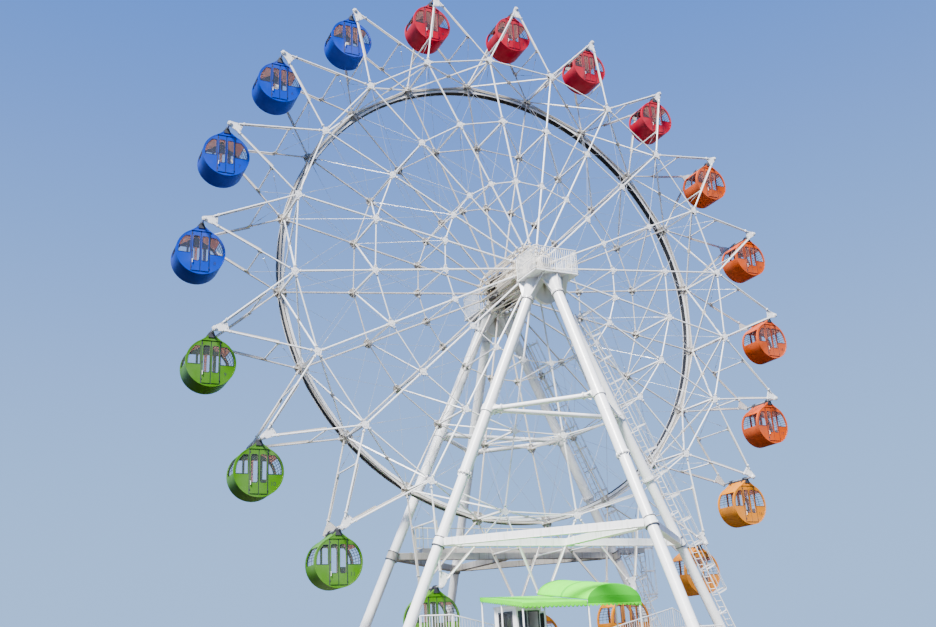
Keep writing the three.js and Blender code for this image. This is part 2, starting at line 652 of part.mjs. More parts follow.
const RAIL_INSET = 60;
const RAIL_POST_SPACING = 2400;
const railBase = DECK_HEIGHT + GAP;
const railFront = DECK_FRONT + RAIL_INSET;
const railBack = DECK_BACK - RAIL_INSET;

// Tall guards beside the passing cabins: posts on the deck, or on the ground beyond it, under a top rail
// that rises away from the boarding place, and a level rail near the deck
const GUARD_LEFT = [[DECK_LEFT + RAIL_INSET, 3330], [-4840, 3330], [-2900, 2845]];
const GUARD_RIGHT = [[2400, 2370], [DECK_RIGHT - RAIL_INSET, 2880], [6600, 3290], [8380, 2370]];
const GUARD_POST = 50;
const GUARD_SPACING = 1500;
const GUARD_LOW_RAIL = DECK_HEIGHT + 100;
function guard(line) {
  const half = GUARD_POST / 2;
  const parts = [];
  for (let i = 0; i + 1 < line.length; i += 1) {
    const [a, b] = [line[i], line[i + 1]].map(([x, z]) => vec(x, railBack, z));
    const count = Math.max(1, Math.round((b.x - a.x) / GUARD_SPACING));
    for (let j = i > 0 ? 1 : 0; j <= count; j += 1) {
      const p = a.clone().lerp(b, j / count);
      const foot = p.x > DECK_RIGHT ? 0 : railBase;
      parts.push(box(p.x - half, p.x + half, railBack - half, railBack + half, foot, p.z));
    }
    parts.push(bar(a, b, GUARD_POST * 0.8, GUARD_POST * 0.8, UP));
  }
  const low = (x) => vec(x, railBack, GUARD_LOW_RAIL);
  parts.push(bar(low(line[0][0]), low(line[line.length - 1][0]), GUARD_POST * 0.6, GUARD_POST * 0.6, UP));
  return join(parts);
}
addPart('deck_rail_left', railing([[DECK_LEFT + RAIL_INSET, railBack], [DECK_LEFT + RAIL_INSET, railFront],
  [STEPS_LEFT - RAIL_INSET, railFront]], railBase, RAIL_POST_SPACING).add(guard(GUARD_LEFT)), PAINT.white);
addPart('deck_rail_right', railing([[DECK_RIGHT - RAIL_INSET, railBack], [DECK_RIGHT - RAIL_INSET, railFront],
  [STEPS_RIGHT + RAIL_INSET, railFront]], railBase, RAIL_POST_SPACING).add(guard(GUARD_RIGHT)), PAINT.white);

// Height of the underside of the flat canopy at a distance from the front
const SHEET = 12;
const canopyUnder = (y) => CANOPY_FRONT_HEIGHT - SHEET + (y - CANOPY_FRONT_Y) * CANOPY_SLOPE;

// The operator's booth: a hollow room with windows left and front and a door opening at the front
function operatorBooth() {
  const x0 = -4000;
  const x1 = -2900;
  const y0 = -5000;
  const y1 = -3200;
  const z0 = DECK_HEIGHT + GAP;
  const z1 = canopyUnder(y0) - 160;
  const wall = 60;
  const room = box(x0 + wall, x1 - wall, y0 + wall, y1 - wall, z0 + wall, z1 - wall);
  const sill = DECK_HEIGHT + 950;
  const head = z1 - 260;
  return box(x0, x1, y0, y1, z0, z1).subtract(room)
    .subtract(box(x0 - 100, x0 + 100, y0 + 350, y1 - 350, sill, head))
    .subtract(box(x0 + 120, x0 + 430, y0 - 100, y0 + 100, sill, head))
    .subtract(box(x1 - 560, x1 - 110, y0 - 100, y0 + 100, z0 + wall + 20, head));
}
addPart('operator_booth', operatorBooth(), PAINT.white, 0.6, 0.05);

// The frame of the canopies: round posts, eaves beams and the bows of the vault
const FLAT_LEFT = -4260;
const FLAT_RIGHT = -1340;
const CANOPY_BACK_Y = -2400;
const VAULT_LEFT = -1310;
const VAULT_RIGHT = 1250;
const VAULT_BACK_Y = -2000;
const VAULT_RISE = 700;
const MIDDLE_ROW = -1240;
const RIGHT_ROW = 1199.3;
function canopyFrame() {
  const post = 35;
  const beam = 50;
  const leftRow = FLAT_LEFT + 60;
  const front = CANOPY_FRONT_Y + 60;
  const back = CANOPY_BACK_Y - 60;
  const vaultBack = VAULT_BACK_Y - 60;
  const middle = (y) => canopyUnder(y) - beam / 2 - beam * CANOPY_SLOPE / 2 - GAP;
  const parts = [];
  const spots = [[leftRow, back], [leftRow, -4200], [leftRow, front], [MIDDLE_ROW, back],
    [MIDDLE_ROW, front], [RIGHT_ROW, vaultBack], [RIGHT_ROW, -4200], [RIGHT_ROW, front]];
  for (const [x, y] of spots) {
    parts.push(rod(vec(x, y, DECK_HEIGHT + GAP), vec(x, y, middle(y)), post, post, 6));
  }
  const eave = (x0, y0, x1, y1) => parts.push(bar(vec(x0, y0, middle(y0)), vec(x1, y1, middle(y1)), beam, beam, UP));
  eave(leftRow - 20, front, RIGHT_ROW + 20, front);
  eave(leftRow - 20, back, MIDDLE_ROW, back);
  eave(MIDDLE_ROW, vaultBack, RIGHT_ROW + 20, vaultBack);
  eave(leftRow, front - 22, leftRow, back + 22);
  eave(MIDDLE_ROW, front - 22, MIDDLE_ROW, vaultBack + 22);
  eave(RIGHT_ROW, front - 22, RIGHT_ROW, vaultBack + 22);
  return join(parts);
}
addPart('canopy_frame', canopyFrame(), PAINT.white);

// Shears a solid upward from front to back by the slope of the canopies
function slopedBack(geometry) {
  const position = geometry.attributes.position;
  for (let i = 0; i < position.count; i += 1) {
    position.setZ(i, position.getZ(i) + (position.getY(i) - CANOPY_FRONT_Y) * CANOPY_SLOPE);
  }
  return geometry;
}

// A sheet profile in X and Z carried straight back under the canopy slope
function sheet(points, y0, y1) {
  const shape = new THREE.Shape(points.map(([x, z]) => new THREE.Vector2(x, z)));
  const geometry = new THREE.ExtrudeGeometry(shape, { depth: y1 - y0, bevelEnabled: false, steps: 1 });
  geometry.rotateX(Math.PI / 2);
  geometry.translate(0, y1, 0);
  return solid(slopedBack(geometry));
}
const eaveTop = CANOPY_FRONT_HEIGHT;
const valance = 130;
addPart('canopy_flat', sheet([[FLAT_LEFT, eaveTop - valance], [FLAT_LEFT + SHEET, eaveTop - valance],
  [FLAT_LEFT + SHEET, eaveTop - SHEET], [FLAT_RIGHT, eaveTop - SHEET], [FLAT_RIGHT, eaveTop],
  [FLAT_LEFT, eaveTop]], CANOPY_FRONT_Y, CANOPY_BACK_Y), PAINT.canopy, 0.7, 0);

// The vaulted canopy, closed at its front end
function canopyVault() {
  const middle = (VAULT_LEFT + VAULT_RIGHT) / 2;
  const half = (VAULT_RIGHT - VAULT_LEFT) / 2;
  const spring = eaveTop - 70;
  const foot = spring - 160;
  const steps = 12;
  const arch = (width, rise) => {
    const points = [];
    for (let i = 0; i <= steps; i += 1) {
      const a = (i * Math.PI) / steps;
      points.push([middle + width * Math.cos(a), spring + rise * Math.sin(a)]);
    }
    const [x0, z0] = points[steps - 1];
    const [x1, z1] = points[steps];
    points[steps] = [THREE.MathUtils.lerp(x1, x0, 0.42), THREE.MathUtils.lerp(z1, z0, 0.42)];
    return points;
  };
  const outer = [[middle + half, foot], ...arch(half, VAULT_RISE)];
  const under = arch(half - SHEET, VAULT_RISE - SHEET);
  const [leftX, leftZ] = under[steps];
  const inner = [[middle + half - SHEET, foot - 30], ...under, [leftX, leftZ - 40]];
  return sheet(outer, CANOPY_FRONT_Y, VAULT_BACK_Y).subtract(sheet(inner, CANOPY_FRONT_Y + SHEET, VAULT_BACK_Y + 50));
}
addPart('canopy_vault', canopyVault(), PAINT.canopy, 0.7, 0);

export default group;
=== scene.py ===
"""A ferris wheel on six round legs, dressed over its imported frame. Metres, Z up, Y along the axle."""
import math

import bpy
import numpy as np
from mathutils import Matrix, Vector
from mathutils.geometry import tessellate_polygon


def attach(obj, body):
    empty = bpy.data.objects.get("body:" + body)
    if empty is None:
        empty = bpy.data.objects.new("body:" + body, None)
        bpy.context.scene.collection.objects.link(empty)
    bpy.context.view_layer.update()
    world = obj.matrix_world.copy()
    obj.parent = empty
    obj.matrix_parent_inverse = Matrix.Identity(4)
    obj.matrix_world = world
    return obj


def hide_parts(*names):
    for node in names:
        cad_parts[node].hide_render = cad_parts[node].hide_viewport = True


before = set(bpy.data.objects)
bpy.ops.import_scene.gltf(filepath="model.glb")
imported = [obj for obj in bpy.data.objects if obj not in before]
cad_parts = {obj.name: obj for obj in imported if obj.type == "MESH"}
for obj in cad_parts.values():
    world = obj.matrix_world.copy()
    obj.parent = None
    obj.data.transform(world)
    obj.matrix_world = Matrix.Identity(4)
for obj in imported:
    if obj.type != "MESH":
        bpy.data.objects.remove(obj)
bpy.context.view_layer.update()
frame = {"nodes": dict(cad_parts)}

X, Y, Z = np.eye(3)
END = {-1: "front", 1: "rear"}
GAP = 0.0003  # between two solids that touch

# The wheel: radii of its pins, rings and spoke roots, half widths, and the angles of its rim joints and cabin pins
HUB_Z = 19.4
PIN_R = 15.86
RIM_R = 12.0
MIDDLE_R = 8.27
INNER_R = 4.79
ROOT_R = 1.25
ROOT_Y = 1.8
RIM_Y = 1.3745
PIN_Y = 1.165
BAYS = 20
TUBE_CUT = 0.24  # corner cut of its tubes, as a share of their width
STRUT_FROM_PIN = 2.72  # distance along an arm
NODE_A = np.radians(-25.02 + 18.0 * np.arange(BAYS))
PIN_A = NODE_A + math.radians(9.0)
PINS = np.stack([PIN_R * np.sin(PIN_A), 0 * PIN_A, HUB_Z + PIN_R * np.cos(PIN_A)], 1)
HUB = np.array([0, 0, HUB_Z])

# The support: levels of its decks, beams and legs, and where the bearings are
DECK_Z = 1.25
PLATFORM_Z = 18.5
SOFFIT = 0.06  # depth of the hub platforms' floor
BEARING_Y = 2.6
BEAM_Z = 6.12
BRACE_Z = 11.9
SERVICE_Z = 6.5403
SERVICE = (-4.4, 8.2, 3.02, 3.98)  # x0, x1, y0, y1, as in the station's plans
LEG_TOP = 17.4
SPLICE_Z = 9.0
SPREAD = 7.28 / 16  # of the left and right legs, sideways for each metre of drop
OUTER_SPREAD = 7.34 / 16  # of the outer legs, along Y
LEAN = 0.0094  # of the left and right legs, along Y


# Shapes

def unit(v):
    """Each row scaled to length one."""
    return v / np.linalg.norm(v, axis=-1, keepdims=True)


def ring(radius, count, start=0.0, squash=1.0):
    """A circle of count points, counter-clockwise, as (count, 2)."""
    a = start + 2 * math.pi * np.arange(count) / count
    return np.stack([radius * np.cos(a), squash * radius * np.sin(a)], 1)


def soft_square(width, height, chamfer):
    """A rectangle whose four corners are cut at 45 degrees, eight points, counter-clockwise."""
    w, h, c = width / 2, height / 2, chamfer
    return np.array([[w, c - h], [w, h - c], [w - c, h], [c - w, h], [-w, h - c], [-w, c - h], [c - w, -h],
                     [w - c, -h]])


def oblong(x0, x1, z0, z1, cut=0.0):
    """A rectangle, its corners cut at 45 degrees by a length."""
    if not cut:
        return np.array([[x0, z0], [x1, z0], [x1, z1], [x0, z1]])
    return np.array([[x0 + cut, z0], [x1 - cut, z0], [x1, z0 + cut], [x1, z1 - cut], [x1 - cut, z1], [x0 + cut, z1],
                     [x0, z1 - cut], [x0, z0 + cut]])


def xyz(x, y, z):
    """Points from three arrays or numbers of coordinates, broadcast together."""
    return np.stack(np.broadcast_arrays(*(np.asarray(v, float) for v in (x, y, z))), -1)


class Skin:
    """Gathers surfaces with their finishes and makes them one named piece."""

    def __init__(self):
        self.points, self.loops, self.sizes, self.marks, self.smooth = [], [], [], [], []
        self.count = 0

    def add(self, points, faces, finish=0, smooth=True):
        """Adds points (n, 3) and a list of face arrays (k, corners) that index them."""
        start = self.count
        self.points.append(np.asarray(points, float).reshape(-1, 3))
        self.count += len(self.points[-1])
        return self.faces(start, faces, finish, smooth)

    def faces(self, start, faces, finish=0, smooth=True):
        """Adds face arrays that index points already added, counted from the one numbered start."""
        for f in map(np.atleast_2d, faces):
            if f.size:
                self.loops.append((f + start).ravel())
                self.sizes.append(np.full(len(f), f.shape[1]))
                self.marks.append(np.full(len(f), finish))
                self.smooth.append(np.full(len(f), smooth))
        return self

    def piece(self, name, body, materials, slot, replaces=(), shift=(0, 0, 0), crease=35):
        """Makes one mesh object of them, moved by shift, its edges sharp above crease degrees, and lets it ride
        on a body."""
        mesh = bpy.data.meshes.new(name)
        points = np.concatenate(self.points) + np.asarray(shift, float)
        loops, sizes = np.concatenate(self.loops), np.concatenate(self.sizes)
        mesh.vertices.add(len(points))
        mesh.vertices.foreach_set("co", points.ravel())
        mesh.loops.add(len(loops))
        mesh.loops.foreach_set("vertex_index", loops)
        mesh.polygons.add(len(sizes))
        mesh.polygons.foreach_set("loop_start", np.concatenate([[0], np.cumsum(sizes)[:-1]]))
        mesh.polygons.foreach_set("loop_total", sizes)
        mesh.polygons.foreach_set("material_index", np.concatenate(self.marks))
        mesh.polygons.foreach_set("use_smooth", np.concatenate(self.smooth))
        for m in materials:
            mesh.materials.append(m)
        mesh.update(calc_edges=True)
        mesh.validate()
        mesh.set_sharp_from_angle(angle=math.radians(crease))
        made = bpy.data.objects.new(name, mesh)
        bpy.context.collection.objects.link(made)
        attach(made, body)
        if replaces:
            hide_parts(*replaces)
        return made


def carried(skin, profile, paths, side, finish=0, smooth=True):
    """A flat profile (n, 2) carried along each path (k, m, 3), closed at both ends. At a path point with
    tangent t the profile's first axis is side x t and its second is t x (side x t)."""
    paths = np.asarray(paths, float)
    if paths.ndim == 2:
        paths = paths[None]
    k, m, _ = paths.shape
    profile = np.asarray(profile, float)
    step = np.diff(paths, axis=1)
    tangent = unit(np.concatenate([step[:, :1], step[:, :-1] + step[:, 1:], step[:, -1:]], 1))
    side = np.asarray(side, float)
    side = side[:, None, :] if side.ndim == 2 else side
    first = unit(np.cross(np.broadcast_to(side, tangent.shape), tangent))
    second = np.cross(tangent, first)
    at = paths[:, :, None] + (profile[:, :1] * first[:, :, None] + profile[:, 1:] * second[:, :, None])
    index = np.arange(at.size // 3).reshape(k, m, -1)
    here, there = index[:, :-1], index[:, 1:]
    quads = np.stack([here, np.roll(here, -1, 2), np.roll(there, -1, 2), there], -1).reshape(-1, 4)
    start = skin.count
    skin.add(at, [quads], finish, smooth)
    return skin.faces(start, [np.concatenate([index[:, 0, ::-1], index[:, -1]])], finish, False)


def between(a, b):
    """Straight paths (k, 2, 3) from rows a to rows b."""
    return np.stack(np.broadcast_arrays(np.atleast_2d(a), np.atleast_2d(b)), 1)


def bars(skin, a, b, width, height, side=Y, finish=0, chamfer=0.08):
    """Straight bars from rows a to rows b with a cut-cornered section, width across side x length."""
    profile = soft_square(width, height, chamfer * min(width, height))
    return carried(skin, profile, between(a, b), side, finish, smooth=False)


def rods(skin, a, b, radius, count=8, side=Y, finish=0):
    """Straight round rods from rows a to rows b."""
    return carried(skin, ring(radius, count), between(a, b), side, finish)


def slabs(skin, centre, normal, up, outline, thickness, finish=0):
    """Flat plates: an outline (n, 2) across normal, thick along it, its second axis nearest to up."""
    centre, normal, up = (np.atleast_2d(np.asarray(v, float)) for v in (centre, normal, up))
    centre, normal, up = np.broadcast_arrays(centre, unit(normal), up)
    half = normal * thickness / 2
    across = unit(np.cross(up, normal))
    path = np.stack([centre - half, centre + half], 1)
    return carried(skin, outline, path, np.cross(normal, across), finish, smooth=False)


def prisms(skin, near, far, finish=0):
    """Solids with flat sides between two rows of loops of corners, each (k, n, 3), whichever way they turn."""
    if np.dot(np.cross(near[0, 1] - near[0, 0], near[0, -1] - near[0, 0]), near[0, 0] - far[0, 0]) < 0:
        near, far = far, near
    k, n, _ = near.shape
    i = np.arange(n)
    j = (i + 1) % n
    first = 2 * n * np.arange(k)[:, None]
    caps = np.concatenate([first + i, first + n + i[::-1]])
    walls = (np.stack([i, i + n, j + n, j], 1)[:, None] + first).reshape(-1, 4)
    return skin.add(np.concatenate([near, far], 1), [caps, walls], finish, False)


def boxes(skin, low, high, finish=0):
    """Upright boxes from rows of lowest and highest corners."""
    low, high = np.broadcast_arrays(np.atleast_2d(np.asarray(low, float)), np.atleast_2d(np.asarray(high, float)))
    corner = np.array([[0, 0, 0], [1, 0, 0], [1, 1, 0], [0, 1, 0], [0, 0, 1], [1, 0, 1], [1, 1, 1], [0, 1, 1]])
    at = low[:, None] + corner[None] * (high - low)[:, None]
    six = np.array([[0, 3, 2, 1], [4, 5, 6, 7], [0, 1, 5, 4], [1, 2, 6, 5], [2, 3, 7, 6], [3, 0, 4, 7]])
    faces = (six[None] + 8 * np.arange(len(low))[:, None, None]).reshape(-1, 4)
    return skin.add(at, [faces], finish, False)


def turned(skin, section, centre, finish=0, count=96):
    """A closed section (n, 2) of radius and height along Y, turned round Y at centre."""
    a = 2 * math.pi * np.arange(count) / count
    radius, along = np.transpose(section)
    at = xyz(radius * np.sin(a)[:, None], along, radius * np.cos(a)[:, None]) + centre
    index = np.arange(count * len(section)).reshape(count, -1)
    there = np.roll(index, -1, 0)
    quads = np.stack([index, there, np.roll(there, -1, 1), np.roll(index, -1, 1)], -1).reshape(-1, 4)
    return skin.add(at, [quads], finish, True)


def turning(loop):
    """Twice the area of a loop (n, 2), above zero if it runs counter-clockwise."""
    x, z = loop.T
    return np.sum(x * np.roll(z, -1) - np.roll(x, -1) * z)


def pierced(skin, outline, holes, low, high, finish=0, frame_axes=(X, Z, -Y), origin=(0, 0, 0)):
    """A flat plate with openings: an outline and holes in the plane of the first two axes, from low to high
    along the third, the walls of every opening included."""
    u, v, n = frame_axes
    loops = [np.asarray(loop, float) for loop in (outline, *holes)]
    loops = [loop if (turning(loop) > 0) == (i == 0) else loop[::-1] for i, loop in enumerate(loops)]
    flat = np.concatenate(loops)
    count = len(flat)
    tris = np.array(tessellate_polygon([[Vector((*p, 0.0)) for p in loop] for loop in loops]))
    (bx, bz), (cx, cz) = ((flat[tris[:, k]] - flat[tris[:, 0]]).T for k in (1, 2))
    tris = np.where((bx * cz > bz * cx)[:, None], tris, tris[:, ::-1])
    plane = origin + flat[:, :1] * u + flat[:, 1:] * v
    start, walls = 0, []
    for loop in loops:
        i = start + np.arange(len(loop))
        j = np.roll(i, -1)
        walls.append(np.stack([i + count, j + count, j, i], 1))
        start += len(loop)
    points = np.concatenate([plane + high * n, plane + low * n])
    return skin.add(points, [tris, tris[:, ::-1] + count, *walls], finish, False)


def walled(skin, outer, inner, kept, finish, inside):
    """A sheet with a thickness: two grids (m, n, 3), closed along the first, with cells (m, n-1) kept or open.
    Kept cells show both faces, and a wall runs along the border of every opening."""
    m, n, _ = outer.shape
    index = np.arange(m * n).reshape(m, n)
    i, j = np.nonzero(kept)
    ahead = (i + 1) % m
    a, b, c, d = index[i, j], index[ahead, j], index[ahead, j + 1], index[i, j + 1]
    start, other = skin.count, index.size
    skin.add(np.concatenate([outer.reshape(-1, 3), inner.reshape(-1, 3)]), [np.stack([a, b, c, d], 1)], finish)
    skin.faces(start + other, [np.stack([d, c, b, a], 1)], inside)
    beyond = np.pad(kept, ((0, 0), (1, 1)))
    for di, dj, p, q in ((1, 0, b, c), (0, 1, c, d), (-1, 0, d, a), (0, -1, a, b)):
        edge = ~beyond[(i + di) % m, j + 1 + dj]
        p, q = p[edge], q[edge]
        skin.faces(start, [np.stack([q, p, p + other, q + other], 1)], finish, False)
    return skin


def at_wheel(radius, angle, y):
    """Points of the wheel at a radius and an angle from the top, clockwise seen from the front."""
    return xyz(radius * np.sin(angle), y, HUB_Z + radius * np.cos(angle))


def face_y(radius):
    """Distance of a wheel face from the middle plane: straight from hub to rim, and again from rim to pin plate."""
    return np.interp(radius, [ROOT_R, 12.09, 15.43], [ROOT_Y, RIM_Y, PIN_Y])


# Finishes

def effect_group(name, inputs):
    """An empty effect group with a vector input, the named inputs and colour, roughness and height outputs."""
    g = bpy.data.node_groups.new(name, "ShaderNodeTree")
    g.interface.new_socket(name="Vector", in_out="INPUT", socket_type="NodeSocketVector")
    for key, value in inputs.items():
        kind = "NodeSocketColor" if isinstance(value, tuple) else "NodeSocketFloat"
        g.interface.new_socket(name=key, in_out="INPUT", socket_type=kind).default_value = value
    for key, kind in (("Color", "NodeSocketColor"), ("Roughness", "NodeSocketFloat"), ("Height", "NodeSocketFloat")):
        g.interface.new_socket(name=key, in_out="OUTPUT", socket_type=kind)
    return g, g.nodes.new("NodeGroupInput").outputs, g.nodes.new("NodeGroupOutput").inputs


def noise(tree, vector, scale, detail=4.0, roughness=0.55):
    """Noise between 0 and 1 over a vector."""
    n = tree.nodes.new("ShaderNodeTexNoise")
    n.inputs["Scale"].default_value = scale
    n.inputs["Detail"].default_value = detail
    n.inputs["Roughness"].default_value = roughness
    tree.links.new(vector, n.inputs["Vector"])
    return n.outputs["Fac"]


def ramp(tree, value, low, high, out_low=0.0, out_high=1.0):
    """A value's range low to high, smoothly mapped to another range."""
    n = tree.nodes.new("ShaderNodeMapRange")
    n.interpolation_type = "SMOOTHSTEP"
    for name, v in (("From Min", low), ("From Max", high), ("To Min", out_low), ("To Max", out_high)):
        n.inputs[name].default_value = v
    tree.links.new(value, n.inputs["Value"])
    return n.outputs["Result"]


def maths(tree, kind, a, b):
    """One math node on two sockets or numbers."""
    n = tree.nodes.new("ShaderNodeMath")
    n.operation = kind
    for i, v in enumerate((a, b)):
        if isinstance(v, (int, float)):
            n.inputs[i].default_value = v
        else:
            tree.links.new(v, n.inputs[i])
    return n.outputs[0]


def times(tree, a, b):
    return maths(tree, "MULTIPLY", a, b)


def plus(tree, a, b):
    return maths(tree, "ADD", a, b)


def mixed(tree, factor, a, b):
    """Colour a turned to colour b by a factor."""
    n = tree.nodes.new("ShaderNodeMix")
    n.data_type = "RGBA"
    for i, v in ((0, factor), (6, a), (7, b)):
        if isinstance(v, (int, float, tuple, list)):
            n.inputs[i].default_value = v
        else:
            tree.links.new(v, n.inputs[i])
    return n.outputs[2]


def stretched(tree, vector, scale):
    """A vector scaled along each axis."""
    n = tree.nodes.new("ShaderNodeMapping")
    n.inputs["Scale"].default_value = scale
    tree.links.new(vector, n.inputs["Vector"])
    return n.outputs["Vector"]


def weather_group():
    """Outdoor paint: soft fading, streaks that run down, rust that spots and bleeds below, orange-peel height."""
    g, given, result = effect_group("weathered_paint", {
        "Paint": (0.8, 0.8, 0.8, 1), "Grime": (0.3, 0.28, 0.24, 1), "Streaks": 0.3, "Rust": 0.1, "Fade": 0.1,
        "Gloss": 0.35})
    vector = given["Vector"]
    broad = noise(g, vector, 0.7, 3)
    fine = noise(g, vector, 9.0, 6)
    run = noise(g, stretched(g, vector, (5.0, 5.0, 0.35)), 1.6, 5, 0.65)
    streak = times(g, ramp(g, run, 0.5, 0.72), given["Streaks"])
    spots = times(g, ramp(g, noise(g, vector, 5.0, 8, 0.7), 0.60, 0.72), ramp(g, broad, 0.42, 0.66))
    bleed = times(g, ramp(g, noise(g, stretched(g, vector, (6.0, 6.0, 0.5)), 1.3, 6, 0.6), 0.58, 0.74),
                  ramp(g, broad, 0.46, 0.7))
    rust = maths(g, "MINIMUM", times(g, plus(g, spots, times(g, bleed, 0.7)), given["Rust"]), 1.0)
    faded = mixed(g, times(g, ramp(g, broad, 0.35, 0.7), given["Fade"]), given["Paint"], (0.62, 0.6, 0.57, 1))
    dirty = mixed(g, streak, faded, given["Grime"])
    speck = mixed(g, times(g, ramp(g, fine, 0.6, 0.75), 0.12), dirty, given["Grime"])
    brown = mixed(g, ramp(g, fine, 0.4, 0.6), (0.20, 0.07, 0.025, 1), (0.42, 0.19, 0.08, 1))
    g.links.new(mixed(g, rust, speck, brown), result["Color"])
    rough = plus(g, given["Gloss"], times(g, plus(g, streak, rust), 0.5))
    g.links.new(plus(g, rough, ramp(g, fine, 0.3, 0.8, -0.04, 0.08)), result["Roughness"])
    g.links.new(plus(g, times(g, noise(g, vector, 60.0, 2), 0.25), times(g, rust, 0.8)), result["Height"])
    return g


def weave_group():
    """Coated cloth on Object coordinates: crossed fine threads, painted shade in noisy folds, and dirt that settles.
    """
    g, given, result = effect_group("coated_weave", {"Cloth": (0.3, 0.8, 0.2, 1), "Shade": (0.1, 0.4, 0.08, 1)})
    vector = given["Vector"]
    threads = []
    for direction in ("X", "Y"):
        w = g.nodes.new("ShaderNodeTexWave")
        w.bands_direction = direction
        w.inputs["Scale"].default_value = 120.0
        w.inputs["Distortion"].default_value = 0.4
        g.links.new(vector, w.inputs["Vector"])
        threads.append(w.outputs["Fac"])
    cloth = times(g, threads[0], threads[1])
    crease = noise(g, stretched(g, vector, (0.6, 2.2, 1.0)), 1.4, 4)
    dust = ramp(g, noise(g, vector, 2.4, 6, 0.65), 0.55, 0.8)
    shaded = mixed(g, times(g, ramp(g, crease, 0.35, 0.7), 0.35), given["Cloth"], given["Shade"])
    dusty = mixed(g, times(g, dust, 0.16), shaded, (0.24, 0.26, 0.18, 1))
    g.links.new(mixed(g, times(g, cloth, 0.12), dusty, given["Shade"]), result["Color"])
    g.links.new(plus(g, 0.5, times(g, dust, 0.25)), result["Roughness"])
    g.links.new(plus(g, times(g, cloth, 0.15), crease), result["Height"])
    return g


WEATHER = weather_group()
WEAVE = weave_group()


def finish(name, group, values, bump=0.02, **shader):
    """A Principled finish whose colour, roughness and bump come from an effect group."""
    m = bpy.data.materials.new(name)
    m.use_nodes = True
    t = m.node_tree
    s = t.nodes["Principled BSDF"]
    g = t.nodes.new("ShaderNodeGroup")
    g.node_tree = group
    c = t.nodes.new("ShaderNodeTexCoord")
    t.links.new(c.outputs["Object"], g.inputs["Vector"])
    for key, v in values.items():
        g.inputs[key].default_value = v
    t.links.new(g.outputs["Color"], s.inputs["Base Color"])
    t.links.new(g.outputs["Roughness"], s.inputs["Roughness"])
    b = t.nodes.new("ShaderNodeBump")
    b.inputs["Strength"].default_value = 0.4
    b.inputs["Distance"].default_value = bump
    t.links.new(g.outputs["Height"], b.inputs["Height"])
    t.links.new(b.outputs["Normal"], s.inputs["Normal"])
    for key, v in shader.items():
        s.inputs[key.replace("_", " ")].default_value = v
    return m


def paint(name, colour, streaks=0.25, rust=0.08, fade=0.1, gloss=0.35, grime=(0.33, 0.31, 0.27, 1), **shader):
    """A painted surface with dirt runs, rust and fading; gloss is its roughness where it is clean."""
    return finish(name, WEATHER, {"Paint": (*colour, 1), "Streaks": streaks, "Rust": rust, "Fade": fade,
                                  "Gloss": gloss, "Grime": grime}, 0.004, **shader)


WHITE = paint("white_lattice_paint", (0.78, 0.775, 0.76), 0.2, 0.12, 0.1)
LEG_WHITE = paint("white_leg_paint", (0.82, 0.815, 0.80), 0.16, 0.05, 0.1, 0.28)
# The rear face's paint is a darker copy of the lattice white: partly aged paint, partly painted shade on the rear
# face.
REAR_WHITE = paint("aged_rear_paint_with_painted_shade", (0.54, 0.50, 0.45), 0.4, 0.4, 0.3)


def stained_paint():
    """White paint with a brown run down its middle: the weathered paint under a mask that is widest at the top."""
    m = paint("rust_run_head_paint", (0.80, 0.765, 0.69), 0.35, 0.5, 0.2)
    t = m.node_tree
    s = t.nodes["Principled BSDF"]
    base = s.inputs["Base Color"].links[0].from_socket
    way = t.nodes.new("ShaderNodeTexCoord").outputs["Object"]
    split = t.nodes.new("ShaderNodeSeparateXYZ")
    t.links.new(way, split.inputs[0])
    drift = ramp(t, noise(t, stretched(t, way, (9.0, 9.0, 1.5)), 1.5, 5), 0.2, 0.8, -0.08, 0.08)
    off = maths(t, "ABSOLUTE", plus(t, split.outputs["X"], drift), 0.0)
    run = times(t, ramp(t, off, 0.02, 0.15, 1.0, 0.0), ramp(t, split.outputs["Z"], 17.5, 18.3))
    t.links.new(mixed(t, times(t, run, 0.85), base, (0.12, 0.06, 0.03, 1)), s.inputs["Base Color"])
    return m


HEAD_WHITE = stained_paint()
BEAM_WHITE = paint("white_beam_paint", (0.87, 0.87, 0.85), 0.5, 0.3, 0.15, 0.35, (0.40, 0.46, 0.36, 1))
# Dark grey rear beam paint: grime, and painted shade on the rear beams and their undersides.
OLD_AND_SHADED_BEAM = paint("grimy_rear_beam_paint_with_painted_shade", (0.33, 0.31, 0.27), 0.7, 0.8, 0.4, 0.5, (0.16, 0.14, 0.11, 1))
# Near-black steel under the service deck: grime, and painted shade where the deck keeps the light off.
GRIME_AND_SHADE_STEEL = paint("dark_underdeck_steel_with_painted_shade", (0.17, 0.15, 0.125), 0.6, 0.7, 0.3, 0.6, (0.09, 0.08, 0.07, 1))
# Beige-grey gusset paint: aged paint, and darker than the white also as painted shade on gussets, the drive ring's
# outer front strip and the service deck's edge channels.
GUSSET = paint("aged_gusset_paint_with_painted_shade", (0.48, 0.44, 0.37), 0.5, 0.5, 0.4)
BROWN_GUSSET = paint("brown_stained_gusset", (0.27, 0.24, 0.19), 0.5, 0.7, 0.3, 0.5, (0.14, 0.11, 0.08, 1))
# Near-black: the drive ring's inner and outer sides, and painted shade in the groove across its front.
BLACK_BAND_AND_SHADE = paint("black_band_and_groove_shade", (0.008, 0.008, 0.009), 0.05, 0.0, 0.02, 0.7, (0.02, 0.02, 0.02, 1))
DARK_STEEL = paint("dark_rail_steel", (0.035, 0.035, 0.04), 0.3, 0.2, 0.05, 0.45, (0.12, 0.1, 0.08, 1))
